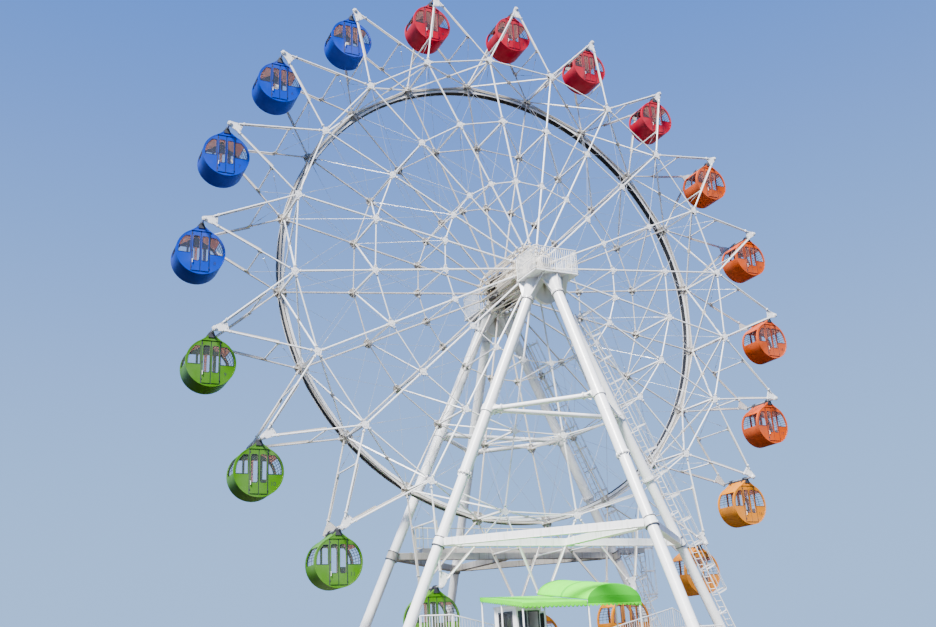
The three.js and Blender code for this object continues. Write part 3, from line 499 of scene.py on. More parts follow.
# Warm beige-grey hub steel: aged paint, with painted shade and warm reflected light in its colour.
HUB_STEEL = paint("aged_hub_steel_with_painted_warm_shade", (0.66, 0.60, 0.50), 0.5, 0.5, 0.3, 0.5, (0.30, 0.26, 0.2, 1))
AXLE_STEEL = paint("worn_axle_steel", (0.42, 0.43, 0.45), 0.3, 0.3, 0.2, 0.3, Metallic=0.8)
DECK_PAINT = paint("grey_deck_paint", (0.42, 0.43, 0.42), 0.3, 0.2, 0.3, 0.6)
# Near-black booth glass: the shade of the unlit room behind the panes is painted into it.
BOOTH_GLASS = paint("booth_glass_with_painted_dark_interior", (0.012, 0.013, 0.015), 0.03, 0.0, 0.02, 0.12)
BOOTH_WHITE = paint("booth_panel_paint", (0.82, 0.82, 0.8), 0.25, 0.04, 0.15, 0.5)
RAIL_YELLOW = paint("pale_yellow_rail_paint", (0.82, 0.78, 0.55), 0.3, 0.2, 0.2)


# Camera, light and floor

def photo_camera():
    """The camera where the photograph was taken, level, turned and leant as it was."""
    yaw, pitch, roll = map(math.radians, (26.575, 19.465, -3.159))
    ahead = Vector((math.sin(yaw) * math.cos(pitch), math.cos(yaw) * math.cos(pitch), math.sin(pitch)))
    right = Vector((math.cos(yaw), -math.sin(yaw), 0))
    up = right.cross(ahead)
    right, up = (math.cos(roll) * right + math.sin(roll) * up, -math.sin(roll) * right + math.cos(roll) * up)
    data = bpy.data.cameras.new("photo_camera")
    data.sensor_width, data.lens = 36.0, 37.38
    data.clip_start, data.clip_end = 0.1, 500.0
    made = bpy.data.objects.new("photo_camera", data)
    made.matrix_world = Matrix((
        (right.x, up.x, -ahead.x, -22.857), (right.y, up.y, -ahead.y, -39.949), (right.z, up.z, -ahead.z, 1.593),
        (0, 0, 0, 1)))
    bpy.context.collection.objects.link(made)
    bpy.context.scene.camera = made


def studio():
    """A pale floor, a soft sky-toned surround that darkens below the horizon, and one key light from the upper
    left front."""
    mesh = bpy.data.meshes.new("studio_floor")
    half = 14
    mesh.from_pydata([(-half, -half, 0), (half, -half, 0), (half, half, 0), (-half, half, 0)], [], [(0, 1, 2, 3)])
    m = bpy.data.materials.new("pale_floor")
    m.use_nodes = True
    shader = m.node_tree.nodes["Principled BSDF"].inputs
    shader["Base Color"].default_value, shader["Roughness"].default_value = (0.16, 0.145, 0.12, 1), 0.9
    mesh.materials.append(m)
    made = bpy.data.objects.new("studio_floor", mesh)
    bpy.context.collection.objects.link(made)
    sun = bpy.data.lights.new("soft_key", "SUN")
    sun.energy, sun.angle, sun.color = 18.0, math.radians(14), (1.0, 0.975, 0.94)
    key = bpy.data.objects.new("soft_key", sun)
    key.rotation_euler = Vector((-0.52, -0.40, 0.84)).to_track_quat("Z", "Y").to_euler()
    bpy.context.collection.objects.link(key)
    world = bpy.data.worlds.new("soft_surround")
    world.use_nodes = True
    t = world.node_tree
    way = t.nodes.new("ShaderNodeTexCoord")
    split = t.nodes.new("ShaderNodeSeparateXYZ")
    t.links.new(way.outputs["Generated"], split.inputs[0])
    above = mixed(t, ramp(t, split.outputs["Z"], 0.0, 0.75), (0.46, 0.76, 1.30, 1), (0.10, 0.29, 1.00, 1))
    whole = mixed(t, ramp(t, split.outputs["Z"], -0.06, 0.0), (0.09, 0.08, 0.065, 1), above)
    t.links.new(whole, t.nodes["Background"].inputs["Color"])
    bpy.context.scene.world = world


photo_camera()
studio()


def recoat(nodes, material):
    """Gives CAD nodes whose shape stays a better finish."""
    for name in nodes:
        made = frame["nodes"][name]
        made.data.materials.clear()
        made.data.materials.append(material)


# Cabins

CABIN_R = 1.05
DROP = np.array([0, 0, -1.32])  # from the pin to the drum's middle
WALL = 0.045
FACE_Y = 0.645
SILL, HEAD, SIDE_HEAD = -0.09, 0.68, 0.62
PAINTED, LINER, TRIM, GLASS_PANE, PALE, SEAT, STEEL, INK = range(8)


def drum_line(radius, apex):
    """The cabin's outline about its middle, counter-clockwise: an arc with a gable over the top, with a
    point at the sill and the head of each side window. Gives points (m, 2) and which steps are window."""
    stops = np.degrees([math.asin(SILL / CABIN_R), math.asin(SIDE_HEAD / CABIN_R)])
    marks = [113.6, 180 - stops[1], 180 - stops[0], 270, 360 + stops[0], 360 + stops[1], 426.4]
    counts = [3, 5, 9, 9, 5, 3]
    a = np.concatenate([np.linspace(p, q, n, endpoint=False) for p, q, n in zip(marks, marks[1:], counts)]
                       + [marks[-1:]])
    step = np.repeat(np.arange(6), counts)
    open_step = np.concatenate([(step == 1) | (step == 4), [False, False]])
    a = np.radians(a)
    return np.concatenate([radius * np.stack([np.cos(a), np.sin(a)], 1), [[0, apex]]]), open_step


def window_line(side, inner_x, radius, low=SILL, high=HEAD, steps=6):
    """A window in a round face: straight on three sides and following the drum on the fourth."""
    z = np.linspace(low, high, steps)
    curve = np.stack([side * np.sqrt(radius ** 2 - z ** 2), z], 1)
    return np.concatenate([curve, [[side * inner_x, high], [side * inner_x, low]]])


def grown(loop, by):
    """A loop moved outwards by a distance: each corner along the sum of its two edge normals."""
    loop = np.asarray(loop, float)
    edge = unit(np.roll(loop, -1, 0) - loop)
    normal = np.stack([edge[:, 1], -edge[:, 0]], 1) * np.sign(turning(loop))
    before = np.roll(normal, 1, 0)
    return loop + by * (normal + before) / (1 + np.sum(normal * before, 1, keepdims=True))


def number_shape(text, size):
    """A plain number as flat points (x, z) about its middle and their triangles."""
    curve = bpy.data.curves.new("number", "FONT")
    curve.body, curve.size, curve.align_x, curve.align_y = text, size, "CENTER", "CENTER"
    made = bpy.data.objects.new("number", curve)
    bpy.context.collection.objects.link(made)
    bpy.context.view_layer.update()
    mesh = bpy.data.meshes.new_from_object(made)
    mesh.calc_loop_triangles()
    points = np.empty(3 * len(mesh.vertices))
    mesh.vertices.foreach_get("co", points)
    tris = np.empty(3 * len(mesh.loop_triangles), int)
    mesh.loop_triangles.foreach_get("vertices", tris)
    bpy.data.objects.remove(made)
    bpy.data.curves.remove(curve)
    bpy.data.meshes.remove(mesh)
    return points.reshape(-1, 3)[:, :2], tris.reshape(-1, 3)


def cabin_shape(number):
    """One cabin about its pin: drum with side windows, faces with doors, bars, seats, hanger and trunnion."""
    s = Skin()
    outer, open_step = drum_line(CABIN_R, 1.28)
    inner, _ = drum_line(CABIN_R - WALL, 1.225)
    levels = np.array([0.65, 0.52, -0.52, -0.65])
    grid = [xyz(line[:, None, 0], levels, line[:, None, 1]) + DROP for line in (outer, inner)]
    kept = np.ones((len(outer), 3), bool)
    kept[open_step, 1] = False
    walled(s, *grid, kept, PAINTED, LINER)

    left, right = window_line(-1, 0.46, 0.94), window_line(1, 0.40, 0.94)
    doorway = oblong(-0.34, 0.31, -0.46, 0.72)
    panes = [oblong(-0.33, -0.07, -0.44, 0.70, 0.04), oblong(0.05, 0.30, -0.44, 0.70, 0.04)]
    leaves = [oblong(-0.375, -0.030, -0.905, 0.915), oblong(0.008, 0.345, -0.905, 0.915)]
    for facing in (1, -1):
        axes = (facing * X, Z, -facing * Y)
        face = dict(frame_axes=axes, origin=DROP)
        pierced(s, inner, [left, right, doorway], 0.60, FACE_Y, PAINTED, **face)
        pierced(s, oblong(-0.415, 0.385, -0.93, 0.93), panes, 0.6453, 0.650, TRIM, **face)
        pierced(s, oblong(-0.35, 0.32, -0.47, 0.73), panes, 0.640, 0.6452, LINER, **face)
        for leaf, pane in zip(leaves, panes):
            pierced(s, leaf, [pane], 0.648, 0.668, PAINTED, **face)
            pierced(s, grown(pane, 0.016), [pane], 0.662, 0.674, TRIM, **face)
            pierced(s, pane, [], 0.654, 0.657, GLASS_PANE, **face)
        for window in (left, right):
            pierced(s, grown(window, 0.016), [window], 0.640, 0.652, TRIM, **face)
            pierced(s, grown(window, 0.004), [], 0.622, 0.626, GLASS_PANE, **face)
        pierced(s, oblong(-0.43, 0.40, 0.93, 0.955), [], 0.60, 0.69, PAINTED, **face)
        turn = [facing, -facing, 1]
        grip = np.array([[-0.35, 0.668, -0.56], [-0.35, 0.71, -0.56], [-0.35, 0.71, -0.40], [-0.35, 0.668, -0.40]])
        carried(s, ring(0.013, 6), grip * turn + DROP, X, PALE)
        hinge = np.array([[x, 0.672, z] for x in (-0.378, 0.348) for z in (-0.75, 0.0, 0.8)]) * turn + DROP
        half = np.array([0.012, 0.008, 0.035])
        boxes(s, hinge - half, hinge + half, TRIM)

    bar_a = np.radians([4.0, 11.0, 18.0, 25.0, 32.0])
    bar_a = np.concatenate([bar_a, math.pi - bar_a])
    line = xyz(1.03 * np.cos(bar_a), 0, 1.03 * np.sin(bar_a)) + DROP
    rods(s, line - 0.53 * Y, line + 0.53 * Y, 0.011, 6, Z, TRIM)
    a = np.radians(np.linspace(-4.5, 36.0, 6))
    rib = np.stack([xyz(sx * 1.03 * np.cos(a), y, 1.03 * np.sin(a)) for sx in (-1, 1) for y in (-0.17, 0.17)]) + DROP
    carried(s, ring(0.011, 6), rib, Y, TRIM)

    for sx in (-1, 1):
        for near, far, z0, z1 in ((0.44, 0.84, -0.50, -0.45), (0.86, 0.90, -0.45, -0.12)):
            x0, x1 = sorted((sx * near, sx * far))
            boxes(s, np.array([x0, -0.56, z0]) + DROP, np.array([x1, 0.56, z1]) + DROP, SEAT)
    boxes(s, np.array([-0.47, -0.60, -0.93]) + DROP, np.array([0.47, 0.60, -0.90]) + DROP, LINER)

    cheek = np.array([[-0.24, -0.19], [0.24, -0.19], [0.10, 0.03], [0.05, 0.08], [-0.05, 0.08], [-0.10, 0.03]])
    slabs(s, [[0, -0.44, 0], [0, 0.44, 0]], Y, Z, cheek, 0.02, TRIM)
    boxes(s, [-0.07, -0.60, -0.085], [0.07, 0.60, -0.03], TRIM)
    ear = np.array([[-0.16, -0.24], [0.16, -0.24], [0.07, 0.03], [0.04, 0.075], [-0.04, 0.075], [-0.07, 0.03]])
    slabs(s, [[0, -0.664, 0], [0, 0.664, 0]], Y, Z, ear, 0.018, TRIM)
    rods(s, [[0, -1.144, 0]], [[0, 1.144, 0]], 0.045, 16, Z, STEEL)
    rods(s, [[0, -0.56, 0], [0, 0.46, 0]], [[0, -0.46, 0], [0, 0.56, 0]], 0.085, 16, Z, TRIM)

    flat, tris = number_shape(str(number), 0.24)
    s.add(xyz(flat[:, 0] + 0.60, -FACE_Y - 0.0015, flat[:, 1] - 0.50) + DROP, [tris], INK, False)
    return s


LINER_M = paint("warm_brown_lining", (0.96, 0.52, 0.42), 0.1, 0.0, 0.02, 0.6)
TRIM_M = paint("dark_window_rubber", (0.012, 0.014, 0.022), 0.05, 0.0, 0.05, 0.55)
PALE_M = paint("white_grip_paint", (0.85, 0.85, 0.84), 0.05, 0.0, 0.05, 0.3)
SEAT_M = paint("cream_seat_board", (0.62, 0.55, 0.42), 0.1, 0.0, 0.1, 0.5)
INK_M = paint("dark_number_paint", (0.02, 0.02, 0.025), 0.0, 0.0, 0.0, 0.5)
PIN_STEEL = paint("galvanised_pin_steel", (0.5, 0.51, 0.52), 0.3, 0.3, 0.2, 0.4, Metallic=0.7)
GLASS = finish("tinted_cabin_glass", WEATHER, {"Paint": (0.35, 0.40, 0.45, 1), "Streaks": 0.2, "Rust": 0.0,
                                               "Fade": 0.05, "Gloss": 0.03}, 0.001, Alpha=0.05)
CABIN_PAINTS = [paint(f"{name}_cabin_enamel", colour, 0.10, 0.02, 0.05, 0.42, tuple(0.45 * c for c in colour) + (1,),
                      Specular_IOR_Level=0.06, Coat_Weight=0.02, Coat_Roughness=0.2)
                for name, colour in (("crimson", (0.37, 0.002, 0.020)), ("orange", (0.48, 0.060, 0.0)),
                                     ("amber", (0.52, 0.168, 0.0)), ("leaf_green", (0.046, 0.162, 0.002)),
                                     ("bright_blue", (0.0004, 0.036, 0.37)))]
SLOTS = ["cabin_red", "cabin_orange", "cabin_yellow", "cabin_green", "cabin_blue"]
for k in range(BAYS):
    name = f"cabin_{k + 1:02d}"
    cabin_shape((23 - k) % BAYS + 1).piece(
        f"{name}_dressed", f"{name}_body",
        [CABIN_PAINTS[k // 4], LINER_M, TRIM_M, GLASS, PALE_M, SEAT_M, PIN_STEEL, INK_M],
        SLOTS[k // 4], [name], PINS[k], 32)


# The wheel

def both_faces(radius, angle, proud=0.0):
    """Points on the front and the rear face of the wheel, proud of the bars' middle plane, and their outward
    normals along Y: (2 n, 3) each."""
    y = face_y(radius) + proud
    return (np.concatenate([at_wheel(radius, angle, s * y) for s in (-1, 1)]),
            np.repeat([-Y, Y], len(angle), axis=0))


def outward(points):
    """Unit vectors from the axle line towards points."""
    return unit((points - HUB) * [1, 0, 1])


def fixings(skin, centre, normal, up, spots, radius, height, finish=0):
    """Hexagonal bolt heads at spots (n, 2) on each plate."""
    centre, normal, up = (np.asarray(v, float) for v in (centre, unit(normal), up))
    up = unit(up - normal * np.sum(up * normal, -1, keepdims=True))
    across = np.cross(up, normal)
    at = (centre[:, None] + spots[None, :, :1] * across[:, None] + spots[None, :, 1:] * up[:, None])
    n = np.broadcast_to(normal[:, None], at.shape).reshape(-1, 3)
    side = np.broadcast_to(up[:, None], at.shape).reshape(-1, 3)
    at = at.reshape(-1, 3)
    return carried(skin, ring(radius, 6), np.stack([at, at + n * height], 1), side, finish, smooth=False)


PIN_PLATE = np.array([[0.225, -0.46], [0.115, -0.02], [0.07, 0.10], [-0.07, 0.10], [-0.115, -0.02], [-0.225, -0.46],
                      [-0.17, -0.56], [0.17, -0.56]])


def lattice(side):
    """One face of the wheel in tubes with cut corners: spokes that thin towards the rim, three rings of chords,
    arms that run from each rim node to the plates at the two pins beside it, and the bolted hub flange."""
    s = Skin()
    root, inner, middle, rim = (at_wheel(r, NODE_A, side * face_y(r)) for r in (ROOT_R, INNER_R, MIDDLE_R, RIM_R))
    for a, b, width in ((root, inner, 0.082), (inner, middle, 0.076), (middle, rim, 0.072)):
        bars(s, a, b, width, width, Y, chamfer=TUBE_CUT)
    for nodes, width in ((inner, 0.05), (middle, 0.052), (rim, 0.06)):
        bars(s, nodes, np.roll(nodes, -1, 0), width, width, Y, chamfer=TUBE_CUT)
    pins = PINS + side * PIN_Y * Y
    out = outward(pins)
    for node in (rim, np.roll(rim, -1, 0)):
        bars(s, node, pins + 0.42 * unit(node - pins), 0.068, 0.068, Y, chamfer=TUBE_CUT)
    for y in (-0.015, 0.015):
        slabs(s, pins + y * Y, side * Y, out, PIN_PLATE, 0.008)
    across = np.cross(out, side * Y)
    for corner, edge in zip(PIN_PLATE, np.roll(PIN_PLATE, -1, 0) - PIN_PLATE):
        x, z = corner + edge / 2
        slabs(s, pins + x * across + z * out, edge[0] * across + edge[1] * out, side * Y,
              oblong(-0.006, 0.006, -0.019, 0.019), float(np.linalg.norm(edge)))
    low, high = sorted((side * 1.775, side * 1.815))
    turned(s, oblong(0.30, 0.86, low, high), HUB, 1, 60)
    bars(s, at_wheel(0.7, NODE_A, side * 1.795), root + 0.02 * outward(root), 0.10, 0.10, Y, 1, TUBE_CUT)
    square = soft_square(0.19, 0.19, 0.02)
    for r in (0.93, 1.14, 1.34):
        at = at_wheel(r, NODE_A, side * face_y(r))
        slabs(s, at, outward(at), Y, square if r < 1.3 else 0.85 * square, 0.03, 1 if r < 1.3 else 0)
    # The rear face takes the darker rear paint, which carries painted shade as well as age.
    coat = WHITE if side < 0 else REAR_WHITE
    return s.piece(f"wheel_lattice_{END[side]}", "wheel", [coat, HUB_STEEL], "white_paint",
                   [f"wheel_{END[side]}_frame"])


def node_plates():
    """Small gusset plates with their bolts, and the round boss where spokes, chords and arms meet."""
    s = Skin()
    faces = ((slice(0, BAYS), 1.0, 0), (slice(BAYS, None), 1.4, 2))
    spots = np.array([[-0.12, 0.0], [0.12, 0.0], [0.0, 0.1], [0.0, -0.1]])
    for radius, wide, tall in ((RIM_R, 0.19, 0.16), (MIDDLE_R, 0.17, 0.15), (INNER_R, 0.15, 0.14)):
        outline = np.array([[-wide, -0.04], [-0.06, -tall], [0.06, -tall], [wide, -0.04], [wide, 0.05], [0.08, tall],
                            [-0.08, tall], [-wide, 0.05]])
        at, normal = both_faces(radius, NODE_A, 0.040)
        for half, size, coat in faces:
            slabs(s, at[half], normal[half], outward(at[half]), size * outline, 0.010, coat)
        fixings(s, at + 0.005 * normal, normal, outward(at), spots, 0.015, 0.012, 1)
        at, normal = both_faces(radius, NODE_A)
        for half, _, coat in faces:
            rods(s, at[half] - 0.055 * normal[half], at[half] + 0.052 * normal[half], 0.07, 12, Z, coat)
    return s.piece("node_plates", "wheel", [WHITE, PIN_STEEL, BROWN_GUSSET], "white_paint")


def bar_ends():
    """Square flanges in pairs a short way from each node, at both ends of every tube."""
    s = Skin()
    square = soft_square(0.125, 0.125, 0.018)
    for side in (-1, 1):
        node, inner, core = (at_wheel(r, NODE_A, side * face_y(r)) for r in (RIM_R, MIDDLE_R, INNER_R))
        after, inner_after, core_after = (np.roll(v, -1, 0) for v in (node, inner, core))
        pin = PINS + side * PIN_Y * Y
        for a, b, from_a, from_b in (
                (node, after, 0.25, 0.25), (node, inner, 0.25, 0.24), (node, pin, 0.29, 0.64),
                (after, pin, 0.29, 0.64), (inner, inner_after, 0.22, 0.22), (inner, core, 0.24, 0.22),
                (core, core_after, 0.20, 0.20)):
            t = unit(b - a)
            for gap in (-0.014, 0.014):
                slabs(s, a + (from_a + gap) * t, t, Y, square, 0.018)
                slabs(s, b - (from_b + gap) * t, -t, Y, square, 0.018)
    return s.piece("bar_end_flanges", "wheel", [WHITE], "white_paint")


def arm_struts(near):
    """For the arm of each pin to its rim node on one side: the node between the faces, the arm's direction from
    the pin, and both ends of its cross strut."""
    node = at_wheel(RIM_R, np.roll(NODE_A, near), 0.0)
    length = np.linalg.norm(node - PINS, axis=1, keepdims=True)
    t = (node - PINS) / length
    joint = PINS + STRUT_FROM_PIN * t
    y = PIN_Y + (RIM_Y - PIN_Y) * STRUT_FROM_PIN / length
    return node, t, joint - y * Y, joint + y * Y


def arm_joints():
    """Cross struts between the front and rear arms with their gussets, and the stiffening plates that
    hang inside each arm towards the pin."""
    s = Skin()
    for near in (0, -1):
        _, t, front, rear = arm_struts(near)
        inside = np.cross(t, Y) * (1 if near == 0 else -1)
        bars(s, front, rear, 0.06, 0.06, t, chamfer=TUBE_CUT)
        for at, d in ((front, 1), (rear, -1)):
            slabs(s, at + d * 0.04 * Y, inside, d * Y, [[-0.17, 0], [0.17, 0], [0.04, 0.19], [-0.04, 0.19]], 0.016, 1)
            end = PINS + 0.5 * t - d * 1.185 * Y
            points = np.stack([at, at + 0.10 * inside, end + 0.07 * inside, end], 1)
            prisms(s, points - 0.012 * Y, points + 0.012 * Y, 1)
    return s.piece("arm_joints", "wheel", [WHITE, GUSSET], "white_paint")


def ring_struts():
    """Struts between the faces round the inner ring and at the spoke roots, with a zigzag of thin diagonals
    between the roots, and the small gussets where rim diagonals cross."""
    s = Skin()
    for radius, width, finish in ((INNER_R, 0.06, 0), (ROOT_R, 0.07, 2)):
        y = face_y(radius) - 0.045
        a, b = at_wheel(radius, NODE_A, -y), at_wheel(radius, NODE_A, y)
        bars(s, a, b, width, width, outward(a), finish, TUBE_CUT)
        if finish:
            bars(s, a, np.roll(b, -1, 0), 0.04, 0.04, outward(a), finish, TUBE_CUT)
            bars(s, a, np.roll(a, -1, 0), 0.05, 0.05, Y, finish, TUBE_CUT)
            bars(s, b, np.roll(b, -1, 0), 0.05, 0.05, Y, finish, TUBE_CUT)
    crossing = at_wheel((RIM_R - 0.06) * math.cos(math.radians(9)), PIN_A, 0.0)
    eight = ring(0.12, 8, math.pi / 8)
    for lift in (-0.035, 0.035):
        slabs(s, crossing + lift * outward(crossing), outward(crossing), Y, eight, 0.012, 1)
    for radius, size in ((RIM_R - 0.06, 0.24), (MIDDLE_R, 0.20)):
        for side in (-1, 1):
            at = at_wheel(radius, NODE_A, side * (face_y(radius) - 0.045))
            slabs(s, at + 0.045 * outward(at), outward(at), -side * Y,
                  [[-size, 0], [size, 0], [0.06, 0.9 * size], [-0.06, 0.9 * size]], 0.012, 1)
    return s.piece("ring_struts", "wheel", [WHITE, GUSSET, HUB_STEEL], "white_paint")


def tie_rods():
    """Thin tensioned rods: they cross in every cell of both faces and between the faces in each spoke plane, and
    run from each arm's cross strut to the opposite rim nodes."""
    s = Skin()
    a, b = [], []
    for outer, inner in ((RIM_R, MIDDLE_R), (MIDDLE_R, INNER_R)):
        for side in (-1, 1):
            far, near, across = (at_wheel(r, NODE_A, y * face_y(r)) for r, y in (
                (outer, side), (inner, side), (inner, -side)))
            a += [far, np.roll(far, -1, 0), far]
            b += [np.roll(near, -1, 0), near, across]
    for near in (0, -1):
        node, _, front, rear = arm_struts(near)
        a += [front, rear]
        b += [node + face_y(RIM_R) * Y, node - face_y(RIM_R) * Y]
    a, b = np.concatenate(a), np.concatenate(b)
    rods(s, a, b, 0.0075, 6, Y + 0.01 * X, 1)
    t = unit(b - a)
    middle = a + 0.55 * t
    rods(s, middle, middle + 0.28 * t, 0.018, 6, Y + 0.01 * X, 1)
    return s.piece("tie_rods", "wheel", [WHITE, PIN_STEEL], "white_paint")


def pin_fittings():
    """Bosses, nuts and bolts on the outer sides of the pin plates."""
    s = Skin()
    normal = np.repeat([-Y, Y], BAYS, axis=0)
    at = np.concatenate([PINS, PINS]) + (PIN_Y + 0.019) * normal
    rods(s, at, at + 0.045 * normal, 0.095, 20, Z)
    rods(s, at + 0.045 * normal, at + 0.075 * normal, 0.05, 6, Z)
    plate_bolts = [[sx * x, z] for x, z in ((0.15, -0.33), (0.17, -0.44), (0.08, -0.5)) for sx in (-1, 1)]
    fixings(s, at, normal, outward(at), np.array(plate_bolts), 0.018, 0.018, 1)
    fixings(s, at + 0.045 * normal, normal, outward(at), ring(0.074, 6), 0.011, 0.012, 1)
    return s.piece("pin_fittings", "wheel", [WHITE, PIN_STEEL], "white_paint")


def drive_channel():
    """The rolled ring behind the rear face: a white and a beige-grey flat strip in front with a groove painted black
    as shade between them, a broad black band on its inner side, a black outer side, a white lip at the back,
    joints and brackets."""
    s = Skin()
    y = face_y(11.675) + 0.0453
    # The black groove between the front strips is painted shade, and the beige-grey outer strip is partly painted
    # shade of a recessed web.
    for low, high, near, far, finish in ((11.655, 11.775, 0.0, 0.02, 3), (11.775, 11.805, 0.012, 0.02, 1),
                                         (11.805, 11.925, 0.0, 0.02, 0), (11.645, 11.665, 0.021, 0.31, 1),
                                         (11.915, 11.93, 0.021, 0.31, 1), (11.63, 11.95, 0.311, 0.335, 3)):
        turned(s, oblong(low, high, y + near, y + far), HUB, finish, 160)
    joint = np.concatenate([NODE_A, PIN_A])
    t = at_wheel(1.0, joint + math.pi / 2, 0.0) - HUB
    at = at_wheel(11.79, joint, y + 0.166)
    slabs(s, at, t, outward(at), oblong(-0.144, 0.144, -0.12, 0.12), 0.02, 0)
    at = at_wheel(11.79, NODE_A, y - 0.009)
    bracket = [[-0.2, -0.2], [0.2, -0.2], [0.24, 0.0], [0.16, 0.2], [-0.16, 0.2], [-0.24, 0.0]]
    slabs(s, at, Y, outward(at), bracket, 0.016, 2)
    return s.piece("drive_channel", "wheel", [GUSSET, BLACK_BAND_AND_SHADE, BROWN_GUSSET, WHITE], "drive_steel",
                   ["drive_ring"])


def hub_core():
    """The hub drum with ribbed barrel, collars and bolts between the spoke flanges, lengthwise covers on it, and
    the dark slewing motors with their guards at the rear."""
    s = Skin()
    half = 1.7447
    shell = [[0.2005, -half], [0.78, -half], [0.78, -half + 0.05], [0.56, -half + 0.05]]
    for y in (-0.85, 0.0, 0.85):
        shell += [[0.56, y - 0.03], [0.66, y - 0.03], [0.66, y + 0.03], [0.56, y + 0.03]]
    shell += [[0.56, half - 0.05], [0.78, half - 0.05], [0.78, half], [0.2005, half]]
    turned(s, shell, HUB, 0, 60)
    a = PIN_A[::2]
    t = at_wheel(1.0, a + math.pi / 2, 0.0) - HUB
    at = at_wheel(0.56, a, 0.0)
    end, neck = half - 0.06, half - 0.22
    slabs(s, at, t, outward(at), [[-end, -0.02], [end, -0.02], [end, 0.16], [neck, 0.09], [-neck, 0.09],
                                  [-end, 0.16]], 0.022, 0)
    bolt_a = np.radians(np.arange(0, 360, 12))
    at = np.concatenate([at_wheel(r, bolt_a, y) for r in (0.80, 0.42) for y in (-1.815, 1.815)])
    normal = np.sign(at * [0, 1, 0])
    fixings(s, at, normal, outward(at), np.zeros((1, 2)), 0.026, 0.024, 1)
    cover = soft_square(0.30, 0.17, 0.03)
    for turn in NODE_A[::5] + 0.12:
        out = np.array([math.sin(turn), 0, math.cos(turn)])
        line = HUB + 0.70 * out
        carried(s, cover, [line - 1.45 * Y, line + 0.75 * Y], out, smooth=False)
        line = line + 0.02 * out
        carried(s, cover * [0.6, 1.3], [line - 1.2 * Y, line - 0.7 * Y], out, smooth=False)
    motor_a = NODE_A[::2] + 0.2
    seat = at_wheel(0.86, motor_a, 0.0)
    rods(s, seat + 1.05 * Y, seat + 1.62 * Y, 0.11, 14, Z, 2)
    rods(s, seat + 1.00 * Y, seat + 1.05 * Y, 0.075, 14, Z, 1)
    slabs(s, seat + 1.64 * Y, Y, outward(seat), soft_square(0.30, 0.30, 0.04), 0.035, 0)
    slabs(s, seat - 0.16 * outward(seat) + 1.3 * Y, outward(seat), Y, soft_square(0.2, 0.5, 0.02), 0.03, 2)
    return s.piece("hub_core", "wheel", [HUB_STEEL, PIN_STEEL, DARK_STEEL], "machined_steel", ["hub_drum"])


def axle_shaft():
    """The turned axle with a shoulder and a bolted end cap at each end."""
    s = Skin()
    half = 2.95
    radius, y = [0.16, 0.19, 0.2, 0.2], [half, half, half - 0.02, half - 0.1]
    near = [[0.0, half - 0.001]] + [[r, h] for r, h in zip(radius, y)]
    turned(s, np.concatenate([np.array(near) * [1, -1], near[::-1]]), HUB, 0, 48)
    a = np.radians(np.arange(0, 360, 60))
    at = np.concatenate([at_wheel(0.1, a, -half), at_wheel(0.1, a, half)])
    fixings(s, at, np.sign(at * [0, 1, 0]), outward(at), np.zeros((1, 2)), 0.02, 0.016, 0)
    return s.piece("axle_shaft", "wheel", [AXLE_STEEL], "machined_steel", ["main_axle"])


recoat(frame["nodes"], WHITE)
lattice(-1)
lattice(1)
node_plates()
bar_ends()
arm_joints()
ring_struts()
tie_rods()
pin_fittings()
drive_channel()
hub_core()
axle_shaft()


# Legs, hub supports, beams and ladders

def leg_at(place, side, z):
    """The middle line of a leg at a height, in metres: place is -1 left, 1 right or 0 for the outer leg."""
    drop = LEG_TOP - z
    if place == 0:
        return np.array([0.0, side * (3.75 + drop * OUTER_SPREAD), z])
    return np.array([place * (0.96 + drop * SPREAD), side * (2.56 + drop * LEAN), z])


def slanted_tube(skin, a, b, ra, rb, cut_a=None, cut_b=None, finish=0, count=36):
    """A round tube or cone from a to b. Each end is square to it, or slid along the wall to a level height."""
    spread = round_about(a, b, 0.0, count)[1]
    low, high = a + ra * spread, b + rb * spread
    run = high - low
    start = low if cut_a is None else low + run * ((cut_a - low[:, 2:]) / run[:, 2:])
    end = high if cut_b is None else low + run * ((cut_b - low[:, 2:]) / run[:, 2:])
    i = np.arange(count)
    j = (i + 1) % count
    return skin.add(np.concatenate([start, end]), [np.stack([i, j, j + count, i + count], 1), [i[::-1]], [i + count]],
                    finish, True)


def round_about(a, b, radius, count, start=0.0):
    """Points on a circle square to the line a to b, about a, and their outward and lengthwise directions."""
    t = unit(b - a)
    first = unit(np.cross(Y if abs(t[1]) < 0.9 else X, t))
    c = ring(1.0, count, start)
    out = c[:, :1] * first + c[:, 1:] * np.cross(t, first)
    return a + radius * out, out, np.broadcast_to(t, (count, 3))


def knife_gussets(skin, at, toward, inner, outer, height, count):
    """Triangular stiffeners round a tube: their foot lies at a point, outer wide, and their tip height further on."""
    _, out, t = round_about(at, toward, 0.0, count, 0.2)
    half = 0.009 * np.cross(t, out)[:, None]
    corners = np.stack([at + inner * out, at + outer * out, at + outer * out + 0.04 * t,
                        at + inner * out + height * t], 1)
    return prisms(skin, corners - half, corners + half)


def flange_pair(skin, at, toward, radius, bolts, thick):
    """Two bolted discs face to face on a line, with hexagonal nuts on both."""
    t = unit(toward - at)
    slanted_tube(skin, at - thick * t, at - 0.004 * t, radius, radius)
    slanted_tube(skin, at + 0.004 * t, at + thick * t, radius, radius)
    spots, out, along = round_about(at, toward, radius - 0.045, bolts)
    return rods(skin, spots - (thick + 0.03) * along, spots + (thick + 0.03) * along, 0.02, 6, out, 1)


